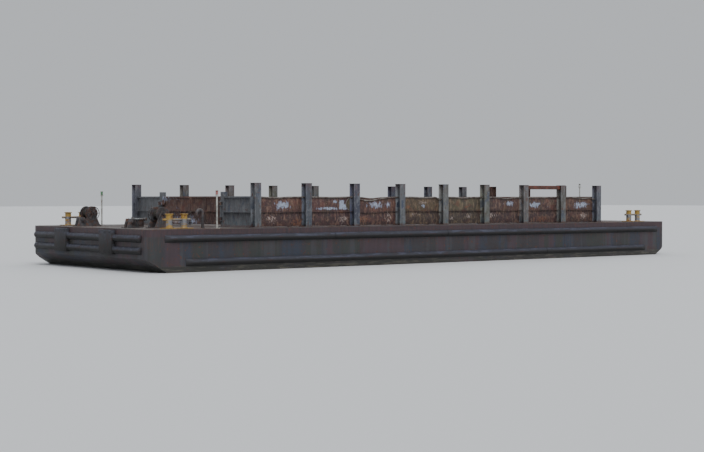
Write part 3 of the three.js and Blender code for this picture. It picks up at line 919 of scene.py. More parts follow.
    def sheet(self, cells: tuple[int, int], shape: Callable[[float, float], Point],
              thickness: float, tint: str = UNTINTED) -> None:
        """Add a curved plate.

        Args:
            cells: how many cells it has each way.
            shape: gives the point for each pair of places from 0 to 1.
            thickness: the plate's thickness, laid behind its faces, or before them where negative.
            tint: the colour of its tint attribute.
        """
        part = bmesh.new()
        bmesh.ops.create_grid(part, x_segments=cells[0], y_segments=cells[1], size=0.5)
        for vert in part.verts:
            vert.co = shape(vert.co.x + 0.5, vert.co.y + 0.5)
        # An open sheet has no outside, so the operator chooses the side that its faces look to
        bmesh.ops.recalc_face_normals(part, faces=part.faces)
        bmesh.ops.solidify(part, geom=part.faces[:], thickness=thickness)
        bmesh.ops.recalc_face_normals(part, faces=part.faces)
        self.take(part, tint=tint)

    def piece(self, name: str, finish: Material, body: str = "barge",
              nodes: Sequence[str] = (), smooth: float = 40) -> Piece:
        """Turn the form into a piece of the barge.

        Args:
            name: the piece's name.
            finish: its material.
            body: the body that it rides on.
            nodes: the nodes that it stands for, which it hides.
            smooth: the angle in degrees under which edges are shaded smooth.

        Returns:
            The piece.
        """
        mesh = bpy.data.meshes.new(name)
        self.bm.to_mesh(mesh)
        self.bm.free()
        mesh.shade_smooth()
        mesh.set_sharp_from_angle(angle=math.radians(smooth))
        mesh.materials.append(finish)
        made = bpy.data.objects.new(name, mesh)
        bpy.context.scene.collection.objects.link(made)
        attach(made, body)
        if nodes:
            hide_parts(*nodes)
        log.info("%s: %d faces on %s", name, len(mesh.polygons), body)
        return made


def copy_of(node: str) -> BMesh:
    """Copy a node's mesh, with its loose triangles merged into flat faces.

    Args:
        node: the node.

    Returns:
        The copy.
    """
    part = bmesh.new()
    part.from_mesh(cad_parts[node].data)
    bmesh.ops.remove_doubles(part, verts=part.verts, dist=SAME_POINT)
    bmesh.ops.dissolve_limit(part, angle_limit=math.radians(1), verts=part.verts,
                             edges=part.edges)
    return part


def softened(node: str, finish: Material, body: str = "barge", width: float = 0.004,
             tint: str = UNTINTED) -> Piece:
    """Stand a copy of a node in for it, with its edges rounded.

    Args:
        node: the node.
        finish: the copy's material.
        body: the body that it rides on.
        width: how far the edges are rounded.
        tint: the colour of its tint attribute.

    Returns:
        The piece.
    """
    part = copy_of(node)
    round_off(part, width, 40)
    form = Form()
    form.take(part, tint=tint)
    return form.piece(node + "_dressed", finish, body, [node])


def wear_off(piece: Piece,
             field: Callable[[Vector, Vector], tuple[float, float, float]]) -> None:
    """Write a piece's wear attribute.

    Args:
        piece: the piece.
        field: gives the pale, bloom and scar strengths at a point, from its place and normal.
    """
    mesh = piece.data
    keep = mesh.attributes.new("wear", "FLOAT_COLOR", "POINT")
    keep.data.foreach_set(
        "color", [c for v in mesh.vertices for c in (*field(v.co, v.normal), 1.0)])


@dataclass
class Assembly:
    """A group of the barge's pieces, with the finishes that dress them."""

    finishes: Finishes


@dataclass
class Hull(Assembly):
    """The plated hull, dished between its frames and dented where it has been hit.

    Attributes:
        frame_pitch: the distance between the frames behind the shell.
        slices: how many cells the mesh has between two frames.
        floor_pitch: the distance between the stiffeners on the bottom.
        dish: how deep the plating sinks between its stiffeners.
        luck: the mean and the swing of the dish's share at each place.
        luck_scale: how fast that share changes along each axis.
        bands: the heights between which the side plating can sink.
        cuts_up: the heights at which the mesh is cut.
        dents: each dent's place along the side, height, radius and depth.
        butts: the places of the upright welds.
        side_from: the least part of a side face's direction that points sideways.
        floor_from: the least part of a bottom face's direction that points down.
    """

    frame_pitch: float = 0.61
    slices: int = 3
    floor_pitch: float = 1.22
    floor_slices: int = 4
    dish: float = 0.008
    luck: tuple[float, float] = (0.75, 0.6)
    luck_scale: tuple[float, float, float] = (0.45, 0.5, 0.8)
    bands: tuple[tuple[float, float], ...] = ((0.28, 1.27), (1.51, 2.18), (2.42, 2.56))
    cuts_up: tuple[float, ...] = (0.45, 0.62, 0.78, 0.95, 1.12, 1.27, 1.51, 1.68, 1.85, 2.02,
                                  2.18, 2.42, 2.49, 2.56)
    dents: tuple[tuple[float, float, float, float], ...] = (
        (11.2, 1.8, 0.7, 0.03), (6.4, 1.75, 0.5, 0.022), (2.1, 1.9, 0.9, 0.028),
        (-3.3, 1.8, 0.6, 0.02), (-8.8, 1.85, 0.8, 0.03), (-12.4, 1.75, 0.5, 0.025))
    butts: tuple[float, ...] = (-7.32, -1.22, 4.88, 9.76)
    bead: float = 0.007
    bead_steps: int = 8
    side_from: float = 0.8
    floor_from: float = 0.6

    def depth(self, at: Vector, normal: Vector) -> float:
        """Work out how far the plating has sunk in.

        Args:
            at: a point of the plating.
            normal: its outward direction.

        Returns:
            The depth in metres.
        """
        along = math.sin(math.pi * at.x / self.frame_pitch) ** 2
        share = self.luck[0] + self.luck[1] * wander(*(c * k for c, k in zip(at, self.luck_scale)))
        if abs(normal.y) > self.side_from:
            band = next((b for b in self.bands if b[0] < at.z < b[1]), None)
            if band is None:
                return 0.0
            across = math.sin(math.pi * (at.z - band[0]) / (band[1] - band[0]))
            hit = sum(d * math.exp(-((at.x - x * normal.y) ** 2 + (at.z - z) ** 2) / r ** 2)
                      for x, z, r, d in self.dents)
            return across * (self.dish * along * share + hit)
        if -normal.z > self.floor_from:
            across = math.sin(math.pi * at.y / self.floor_pitch) ** 2
            return self.dish * along * across * share
        return 0.0

    def cuts(self) -> list[tuple[Axis, float]]:
        """List the planes that cut the mesh into cells.

        Returns:
            Each plane's axis and its place on it.
        """
        long_step = self.frame_pitch / self.slices
        wide_step = self.floor_pitch / self.floor_slices
        long_count = int(HALF_LENGTH / long_step)
        wide_count = int(HALF_BEAM / wide_step)
        return [*((Axis.X, i * long_step) for i in range(-long_count, long_count + 1)),
                *((Axis.Z, z) for z in self.cuts_up),
                *((Axis.Y, i * wide_step) for i in range(-wide_count, wide_count + 1))]

    def build(self) -> None:
        """Build the plating from a cut-up copy of its node, and its welds."""
        part = copy_of("hull")
        for axis, at in self.cuts():
            bmesh.ops.bisect_plane(
                part, geom=part.verts[:] + part.edges[:] + part.faces[:], dist=SAME_POINT,
                plane_co=Vector(axis.value) * at, plane_no=axis.value)
        part.normal_update()
        moves = [(v, v.normal * -self.depth(v.co, v.normal)) for v in part.verts]
        for vert, move in moves:
            vert.co += move
        form = Form()
        form.take(part)
        form.piece("hull_plating", self.finishes.hull, nodes=["hull"], smooth=12)
        self.welds()

    def welds(self) -> None:
        """Lay the upright weld beads between the shell plates, along the sunk plating."""
        form = Form()
        for side in Side:
            outward = Vector((0, side.value, 0))
            for butt in self.butts:
                for low, high in self.bands:
                    steps = [low + (high - low) * k / self.bead_steps
                             for k in range(self.bead_steps + 1)]
                    wall = [Vector((butt, side.value * HALF_BEAM, z)) for z in steps]
                    form.pipe([at - outward * self.depth(at, outward) for at in wall],
                              self.bead, 8)
        form.piece("shell_welds", self.finishes.hull)


@dataclass
class RubRails(Assembly):
    """The half pipes along both sides, dented and worn thin, with their welded joints.

    Attributes:
        cell: the length of a cell of a rail's mesh.
        around: how many cells it has around.
        dent: the depth of the deepest dent.
        dent_from: the noise height that dents start at.
        dent_gain: how fast they deepen above it.
        dent_scale: how close together they lie.
        ripple: the depth of its small unevenness.
        ripple_scale: how close together its waves lie.
        taper: the length of its crushed ends, in radii.
        tip: how far its very ends stand out, as a part of the radius.
        thinnest: the least that it stands out anywhere.
        joints: the places of its welded joints.
        bead_in: how far the middle of a joint's weld bead lies inside the pipe's face.
    """

    wall: float = 0.014
    cell: float = 0.13
    around: int = 14
    dent: float = 0.03
    dent_from: float = 0.12
    dent_gain: float = 3.0
    dent_scale: float = 0.55
    ripple: float = 0.004
    ripple_scale: float = 3.1
    taper: float = 2.5
    tip: float = 0.12
    thinnest: float = 0.015
    joints: tuple[float, ...] = (-12.2, -6.1, 0.0, 6.1, 12.2)
    bead: float = 0.007
    bead_in: float = 0.004

    def one(self, side: Side, level: str) -> None:
        """Build one rail.

        Args:
            side: the side that it runs along.
            level: whether it is the upper or the lower one.
        """
        node = f"{level}_rub_rail_{side.tag}"
        low, high, middle = span(node)
        out = side.value
        wall = low.y if side is Side.PORT else high.y
        radius = (high.z - low.z) / 2
        length = high.x - low.x

        def shape(along: float, around: float) -> Point:
            """Work out the pipe's outer face.

            Args:
                along: the place along the pipe, from 0 to 1.
                around: the place around it, from 0 at its lower edge to 1.

            Returns:
                The point.
            """
            x = low.x + along * length
            angle = math.pi * (around - 0.5)
            end = max(min(x - low.x, high.x - x) / (self.taper * radius), 0.0)
            reach = radius * min(1.0, self.tip + (1 - self.tip) * end)
            hit = wander(x * self.dent_scale, out * 3.0, middle.z) - self.dent_from
            dent = self.dent * min(max(0.0, hit * self.dent_gain), 1.0)
            uneven = abs(self.ripple * wander(x * self.ripple_scale, angle, middle.z))
            reach = max(self.thinnest, reach - dent - uneven)
            return (x, wall + out * reach * math.cos(angle), middle.z + radius * math.sin(angle))

        form = Form()
        form.sheet((int(length / self.cell), self.around), shape, -out * self.wall)
        crown = radius - self.bead_in
        angles = [math.pi * (k / 12 - 0.5) for k in range(1, 12)]
        for x in self.joints:
            form.pipe([Vector((x, wall + out * crown * math.cos(a), middle.z + crown * math.sin(a)))
                       for a in angles], self.bead, 6)
        form.piece(node + "_worn", self.finishes.rail, nodes=[node])

    def build(self) -> None:
        """Build the four rails."""
        for side in Side:
            for level in ("upper", "lower"):
                self.one(side, level)


class Wear(Enum):
    """What can show on a panel's paint, by its place in the wear attribute."""

    PALE = 0
    BLOOM = 1
    SCAR = 2


@dataclass(frozen=True)
class Blotch:
    """One place on a panel where the paint has gone.

    Attributes:
        kind: what shows there.
        along: its middle, from 0 at the bow end to 1.
        up: its middle's height, from 0 at the foot to 1.
        width: its half width, as a part of the panel's length.
        height: its half height, as a part of the panel's height.
        force: how solid it is: at 1 some old paint still stands in it.
        corner: how square it is, from 2 where it is round.
    """

    kind: Wear
    along: float
    up: float
    width: float
    height: float
    force: float = 1.0
    corner: float = 2.0

    def strength(self, along: float, up: float) -> float:
        """Work out how strongly it shows at a place.

        Args:
            along: the place along the panel, from 0 at the bow end to 1.
            up: its height, from 0 at the foot to 1.

        Returns:
            The strength, which is the force at the blotch's middle.
        """
        # The strength falls off faster than a bell curve, so that a scab has a clear rim
        away = (abs(along - self.along) / self.width, abs(up - self.up) / self.height)
        reach = sum(step ** self.corner for step in away)
        return self.force * math.exp(-reach ** 1.5 * 0.7)


@dataclass(frozen=True)
class Damage:
    """What has happened to one fence panel.

    Attributes:
        cast: the panel's own colour.
        sag: how far the top edge has sunk at its lowest, as a length.
        low_at: where along the panel that is, from 0 at the bow end to 1.
        bulge: how far the plate is pushed outboard.
        droop: how far the top edge's after end hangs down.
        gape: how far the plate's upper after end has torn away from its post.
        blotches: where the paint has gone.
    """

    cast: str
    sag: float
    low_at: float
    bulge: float
    droop: float
    gape: float
    blotches: tuple[Blotch, ...]

    @property
    def sag_spread(self) -> float:
        """Return how far a sag spreads along the panel: a deep one takes more of it down."""
        return 0.33 if self.sag > 0.08 else 0.22


PANEL_DAMAGE = (
    Damage("#5c413c", 0.03, 0.4, 0.03, 0.0, 0.0, (
        Blotch(Wear.PALE, 0.55, 0.72, 0.2, 0.16), Blotch(Wear.SCAR, 0.3, 0.25, 0.2, 0.2),
        Blotch(Wear.BLOOM, 0.9, 0.1, 0.2, 0.2))),
    Damage("#563c3b", 0.015, 0.5, 0.02, 0.0, 0.1, (
        Blotch(Wear.PALE, 0.8, 0.73, 0.065, 0.18, 1.25, 5),
        Blotch(Wear.PALE, 0.88, 0.67, 0.06, 0.11, 1.25, 5),
        Blotch(Wear.PALE, 0.46, 0.6, 0.26, 0.06, 1.1), Blotch(Wear.PALE, 0.64, 0.84, 0.06, 0.07),
        Blotch(Wear.SCAR, 0.84, 0.2, 0.18, 0.24), Blotch(Wear.BLOOM, 0.8, 0.47, 0.12, 0.05))),
    Damage("#5d413b", 0.14, 0.3, 0.035, 0.0, 0.0, (
        Blotch(Wear.PALE, 0.48, 0.72, 0.22, 0.15, 0.95), Blotch(Wear.PALE, 0.8, 0.72, 0.06, 0.12),
        Blotch(Wear.BLOOM, 0.17, 0.18, 0.18, 0.2), Blotch(Wear.SCAR, 0.8, 0.25, 0.12, 0.24))),
    Damage("#554838", 0.02, 0.6, 0.025, 0.1, 0.0, (
        Blotch(Wear.SCAR, 0.36, 0.37, 0.22, 0.08), Blotch(Wear.PALE, 0.57, 0.68, 0.06, 0.08),
        Blotch(Wear.SCAR, 0.55, 0.8, 0.14, 0.08), Blotch(Wear.BLOOM, 0.14, 0.66, 0.14, 0.12))),
    Damage("#544d3d", 0.03, 0.5, 0.03, 0.0, 0.0, (
        Blotch(Wear.SCAR, 0.2, 0.22, 0.12, 0.14), Blotch(Wear.SCAR, 0.65, 0.3, 0.12, 0.16),
        Blotch(Wear.BLOOM, 0.6, 0.62, 0.08, 0.08))),
    Damage("#56403b", 0.06, 0.6, 0.02, 0.0, 0.0, (
        Blotch(Wear.SCAR, 0.2, 0.3, 0.2, 0.14), Blotch(Wear.PALE, 0.7, 0.75, 0.15, 0.1))),
    Damage("#523b38", 0.02, 0.3, 0.04, 0.0, 0.0, (
        Blotch(Wear.PALE, 0.3, 0.7, 0.2, 0.12), Blotch(Wear.BLOOM, 0.5, 0.15, 0.3, 0.15))),
    Damage("#5a4238", 0.05, 0.7, 0.025, 0.08, 0.0, (
        Blotch(Wear.PALE, 0.6, 0.68, 0.25, 0.14), Blotch(Wear.SCAR, 0.7, 0.25, 0.2, 0.2))),
)


@dataclass
class Panel:
    """One fence panel: a dented plate in line with the posts' inner flanges, rib and top edge.

    Attributes:
        out: the sign of its side's Y.
        hurt: its damage.
        half: half the plate's length.
        seed: where its own noise starts.
        cells: how many cells the plate's mesh has each way.
        plate: the plate's thickness.
        inset: how far the plate lies outboard of the inner flanges' faces.
        foot: the height of the plate's foot above the deck.
        edge: the radius of the pipe along the top edge.
        edge_out: how far outboard of the plate's face that pipe's middle lies.
        torn_edge: the radius of a torn end's rolled edge.
        torn_up: where up the plate that edge starts and ends, from 0 to 1.
        rib: the rib's height above the deck.
        rib_half: half its thickness.
        foot_bow: how much of the bulge is there at the foot already.
        strake: how far each half of the plate stands out between rib and edge.
        knock: the depth of the small dents.
        knock_scale: how close together they lie, along the panel and up it.
        ripple: how uneven the top edge is.
        droop_from: where along the panel a droop starts.
        inner_wear: the share of the wear that reaches the inner face.
        trim: the colour of rib, foot flange and feet.
    """

    node: str
    out: int
    hurt: Damage
    half: float
    seed: float
    cells: tuple[int, int] = (44, 22)
    plate: float = 0.011
    inset: float = 0.004
    foot: float = 0.035
    foot_plate: float = 0.012
    foot_length: float = 0.14
    foot_depth: float = 0.075
    edge: float = 0.03
    edge_out: float = 0.038
    edge_steps: int = 34
    torn_edge: float = 0.024
    torn_up: tuple[float, float] = (0.52, 0.98)
    rib: float = 0.58
    rib_half: float = 0.006
    rib_depth: float = 0.075
    rib_steps: int = 28
    foot_bow: float = 0.35
    strake: float = 0.014
    knock: float = 0.012
    knock_scale: tuple[float, float] = (5, 2.6)
    ripple: float = 0.006
    droop_from: float = 0.86
    inner_wear: float = 0.4
    trim: str = "#493a39"

    def __post_init__(self) -> None:
        """Take the panel's place from its node."""
        self.low, self.high, self.centre = span(self.node)
        self.inner = self.low.y if self.out > 0 else self.high.y
        self.lap = (self.high.x - self.low.x) / 4 / self.half - 0.5
        self.bottom = DECK + self.foot
        self.top = self.high.z - self.edge

    def crest(self, u: float) -> float:
        """Work out the top edge's height.

        Args:
            u: the place along the panel, from 0 at its fore end to 1.

        Returns:
            The height in metres.
        """
        hurt = self.hurt
        dip = hurt.sag * math.exp(-((u - hurt.low_at) / hurt.sag_spread) ** 2)
        hung = max(0.0, min(u, 1.0) - self.droop_from) / (1 - self.droop_from)
        uneven = self.ripple * (1 + wander(u * 4, self.seed))
        return self.top - dip - hurt.droop * hung ** 2 - uneven

    def face(self, u: float, v: float) -> Point:
        """Work out the plate's inboard face.

        Args:
            u: the place along the panel, from 0 at its fore end to 1.
            v: the place up it, from 0 at its foot to 1.

        Returns:
            The point.
        """
        torn = self.hurt.gape * math.sin(math.pi * min(max(0.0, 2 * v - 1), 1.0))
        within = min(max(u, 0.0), 1.0)
        bow = self.hurt.bulge * math.sin(math.pi * within) ** 0.8
        close, tight = self.knock_scale
        dents = max(0.0, wander(u * close, v * tight, self.seed)) * math.sin(math.pi * v)
        # The bulge stands out most at five eighths of the height
        rise = self.foot_bow + (1 - self.foot_bow) * math.sin(math.pi * v * 0.8)
        depth = bow * rise + self.strake * math.sin(math.tau * v) ** 2 + self.knock * dents
        return (self.centre.x + self.out * self.half * (1 - 2 * u * (1 - torn)),
                self.inner + self.out * (self.inset + depth),
                self.bottom + v * (self.crest(u) - self.bottom))

    def line(self, v: float, steps: int) -> list[Vector]:
        """Follow the plate's face from flange to flange.

        Args:
            v: the height of the line, from 0 at the foot to 1.
            steps: how many steps it takes.

        Returns:
            The points, which lap over the flanges at both ends.
        """
        return [Vector(self.face(-self.lap + (1 + 2 * self.lap) * i / steps, v))
                for i in range(steps + 1)]

    def bars(self, form: Form) -> None:
        """Add the mid rib, which laps over the flanges, the foot flange and the feet.

        Args:
            form: the form that takes them.
        """
        points = self.line(self.rib / (self.top - DECK), self.rib_steps)
        root = self.out * self.plate * 0.7
        for near, far in zip(points, points[1:]):
            y0, y1 = sorted((near.y + root, near.y + self.out * self.rib_depth))
            x0, x1 = sorted((near.x, far.x))
            form.block((x0, y0, near.z - self.rib_half), (x1, y1, near.z + self.rib_half), 0,
                       self.trim)
        y0, y1 = sorted((self.inner, self.inner + self.out * self.foot_depth))
        x0, x1 = self.centre.x - self.half, self.centre.x + self.half
        form.block((x0, y0, self.bottom), (x1, y1, self.bottom + self.foot_plate), 0.002,
                   self.trim)
        for a, b in ((x0, x0 + self.foot_length), (x1 - self.foot_length, x1)):
            form.block((a, y0, self.low.z), (b, y1, self.bottom + self.foot_plate / 2), 0.003,
                       self.trim)

    def edges(self) -> Form:
        """Make the pipe along the top edge, and the bright rolled edge of a torn end.

        Returns:
            The form that holds them.
        """
        form = Form()
        outward = Vector((0, self.out * self.edge_out, 0))
        form.pipe([at + outward for at in self.line(1.0, self.edge_steps)], self.edge, 12)
        if self.hurt.gape:
            low, high = self.torn_up
            form.pipe([Vector(self.face(1.0, low + (high - low) * i / 12)) for i in range(13)],
                      self.torn_edge, 10)
        return form

    def wear(self, at: Vector, normal: Vector) -> tuple[float, float, float]:
        """Work out the wear at a point.

        Args:
            at: the point.
            normal: the face's direction there: most of the wear is on the outer face.

        Returns:
            The strength of each kind of wear, in the order of Wear.
        """
        along = (1 - self.out * (at.x - self.centre.x) / self.half) / 2
        up = (at.z - self.bottom) / (self.top - self.bottom)
        share = 1.0 if normal.y * self.out > 0 else self.inner_wear
        found = [0.0, 0.0, 0.0]
        for blotch in self.hurt.blotches:
            kind = blotch.kind.value
            found[kind] = max(found[kind], share * blotch.strength(along, up))
        return (found[0], found[1], found[2])

    def build(self, finishes: Finishes) -> None:
        """Build the panel's two pieces.

        Args:
            finishes: the finishes.
        """
        form = Form()
        form.sheet(self.cells, self.face, -self.plate, self.hurt.cast)
        self.bars(form)
        made = form.piece(self.node + "_dented", finishes.panel, nodes=[self.node], smooth=50)
        wear_off(made, self.wear)
        self.edges().piece(self.node + "_edge", finishes.edge)


@dataclass
class Fence(Assembly):
    """The cargo fence: capped H posts, their sills, the dented panels and the tie beam.

    Attributes:
        cap_lip: how far a post's cap plate stands out.
        recess_fill_light: how much lighter the facing sides of the flanges are painted: painted
            light against the shade between the flanges.
        post_colours: the posts' colours, from the bow on the port side.
    """

    post_width: float = 0.305
    flange: float = 0.018
    web: float = 0.016
    cap: float = 0.012
    cap_lip: float = 0.009
    cap_tint: str = "#3d2f31"
    recess_fill_light: float = 2.8
    sill: float = 0.02
    sill_tint: str = "#493a39"
    bay: float = 2.44
    bays: int = 8
    end_gap: float = 0.01
    post_colours: tuple[str, ...] = ("#4d4f53", "#464952", "#3b3d4c", "#585a5d", "#5d5d5b",
                                     "#585850", "#5d5856", "#565450", "#4a4c55")

    def paint_light_into_recess(self, form: Form, known: int, y: float, tint: str) -> None:
        """Paint light onto the faces of the flanges that look at each other, against the shade
        between them.

        Args:
            form: the form that holds the post.
            known: how many faces the form had before it.
            y: the post's place across the barge.
            tint: the post's colour.
        """
        reach = self.post_width / 2 - self.flange + MM
        # Painted light: the recess's tint is raised to lighten its shade
        fill_light_tint = (*(c * self.recess_fill_light for c in linear(tint)[:3]), 1.0)
        form.bm.faces.ensure_lookup_table()
        for face in form.bm.faces[known:]:
            if abs(face.calc_center_median().y - y) < reach and abs(face.normal.y) > 0.9:
                for loop in face.loops:
                    loop[form.tint] = fill_light_tint

    def post(self, form: Form, foot: Point, head: float, tint: str) -> None:
        """Add one H post with its cap.

        Args:
            form: the form that takes it.
            foot: the middle of its lower end.
            head: the height of its upper end.
            tint: its colour.
        """
        x, y, z = foot
        half = self.post_width / 2
        inner = half - self.flange
        neck = self.web / 2
        quarter = [(half, half), (half, inner), (neck, inner)]
        outline = (quarter + [(a, -b) for a, b in reversed(quarter)]
                   + [(-a, -b) for a, b in quarter] + [(-a, b) for a, b in reversed(quarter)])
        known = len(form.bm.faces)
        form.prism(outline, head - self.cap - z, Matrix.Translation(foot), 0.005, tint)
        # Painted light inside the H, where the flanges shade each other
        self.paint_light_into_recess(form, known, y, tint)
        lip = half + self.cap_lip
        form.block((x - lip, y - lip, head - self.cap), (x + lip, y + lip, head), 0.003,
                   self.cap_tint)

    def posts(self, side: Side) -> None:
        """Build one side's posts on their sill.

        Args:
            side: the side.
        """
        node = f"fence_posts_{side.tag}"
        low, high, middle = span(node)
        top = low.z + self.sill
        form = Form()
        form.block(low, (high.x, high.y, top), 0.004, self.sill_tint)
        for i in range(self.bays + 1):
            colour = self.post_colours[i if side is Side.PORT else -1 - i]
            x = (self.bays / 2 - i) * self.bay
            self.post(form, (x, middle.y, top), high.z, colour)
        form.piece(node + "_chipped", self.finishes.post, nodes=[node])

    def panel(self, side: Side, bay: int) -> None:
        """Build one panel.

        Args:
            side: the panel's side.
            bay: its number, from 1 at the bow on the port side.
        """
        half = (self.bay - self.post_width) / 2 - self.end_gap
        seed = bay * 3.7 + (11.0 if side is Side.STBD else 0.0)
        node = f"fence_panel_{side.tag}_{bay}"
        Panel(node, side.value, PANEL_DAMAGE[bay - 1], half, seed).build(self.finishes)

    def build(self) -> None:
        """Build both sides and the tie beam."""
        for side in Side:
            self.posts(side)
            for bay in range(1, self.bays + 1):
                self.panel(side, bay)
        softened("tie_beam", self.finishes.beam, width=0.01)


@dataclass
class EndWalls(Assembly):
    """The stern wall, the wings beside the gates, and the gates with their bolts.

    Attributes:
        patch_pitch: about how far apart the worn places are.
        patch_force: how strong they are.
        bolt_in: how far the drop bolt stands forward of the gate's after face.
        bolt_y: how far it stands from the barge's middle.
        bolt_up: the heights of its ends above the deck.
        grip: its handle's points, as places forward of the bolt and heights above the deck.
        straps: the heights of the straps that hold it.
        strap: the height, the half width and the fore reach of a strap.
    """

    wall_cast: str = "#5b423d"
    wing_cast: str = "#585a5f"
    patch_pitch: float = 1.1
    patch_force: float = 2.2
    bolt: float = 0.014
    bolt_in: float = 0.095
    bolt_y: float = 0.06
    bolt_up: tuple[float, float] = (0.03, 0.62)
    grip: Outline = ((0.0, 0.6), (0.05, 0.61), (0.09, 0.6))
    straps: tuple[float, float] = (0.14, 0.5)
    strap: tuple[float, float, float] = (0.03, 0.03, 0.022)

    def worn(self, at: Vector, _: Vector) -> tuple[float, float, float]:
        """Work out the wear at a point, from patches with a different kind in each.

        Args:
            at: the point.
            _: the face's direction there, which makes no difference on these walls.

        Returns:
            The strength of each kind of wear, in the order of Wear.
        """
        x, y, z = (c / self.patch_pitch for c in at)
        pale, bloom, scar = (max(0.0, self.patch_force * wander(x + k, y, z + 3 * k))
                             for k in range(3))
        return (pale, bloom, scar)

    def gate(self, side: Side) -> None:
        """Build one gate with its drop bolt and handle.

        Args:
            side: the gate's side.
        """
        node = f"gate_{side.tag}"
        wear_off(softened(node, self.finishes.panel, node, 0.003, self.wall_cast), self.worn)
        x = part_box(node)[0].x + self.bolt_in
        y = self.bolt_y * side.value
        foot, head = self.bolt_up
        tall, half, fore = self.strap
        form = Form()
        form.rod((x, y, DECK + foot), (x, y, DECK + head), self.bolt, 16, 0.002)
        form.pipe([Vector((x + out, y, DECK + up)) for out, up in self.grip],
                  self.bolt * 0.8, 10)
        for up in self.straps:
            form.block((x - half, y - half, DECK + up), (x + fore, y + half, DECK + up + tall),
                       0.003)
        form.piece(f"gate_{side.tag}_drop_bolt", self.finishes.pin, node)

    def build(self) -> None:
        """Build the walls and gates."""
        wear_off(softened("stern_wall", self.finishes.panel, width=0.003, tint=self.wall_cast),
                 self.worn)
        for side in Side:
            softened(f"gate_wing_{side.tag}", self.finishes.post, width=0.003,
                     tint=self.wing_cast)
            self.gate(side)


@dataclass
class Bitts(Assembly):
    """The double bitts: two capped pipes and their cross bar on a base plate.

    Attributes:
        half: half the distance between the two pipes.
        bar_height: the cross bar's height above the base plate's foot.
    """

    radius: float = 0.125
    cap: float = 0.16
    half: float = 0.32
    base: float = 0.03
    bar: float = 0.045
    bar_height: float = 0.34

    def profile(self, top: float) -> Outline:
        """Draw a pipe's profile, with the weld at its foot and its cap.

        Args:
            top: the pipe's height.

        Returns:
            The profile.
        """
        return [(0, 0.02), (self.radius + 0.02, 0.02), (self.radius + 0.004, 0.045),
                (self.radius, 0.06), (self.radius, top - 0.035), (self.cap - 0.004, top - 0.03),
                (self.cap, top - 0.024), (self.cap, top - 0.008), (self.cap - 0.008, top),
                (0, top)]

    def one(self, end: End, side: Side) -> None:
        """Build the pair of bitts at one corner.

        Args:
            end: the end of the barge.
            side: the side of the barge.
        """
        node = f"{end.tag}_bitts_{side.tag}"
        low, high, centre = span(node)
        form = Form()
        form.block(low, (high.x, high.y, low.z + self.base), 0.006)
        for shift in (-self.half, self.half):
            form.turned(self.profile(high.z - low.z),
                        facing(Axis.Z, (centre.x + shift, centre.y, low.z)))
        z = low.z + self.bar_height
        form.rod((low.x, centre.y, z), (high.x, centre.y, z), self.bar, 32, 0.01)
        form.piece(node + "_worn", self.finishes.bitt, nodes=[node])

    def build(self) -> None:
        """Build all four."""
        for end in End:
            for side in Side:
                self.one(end, side)


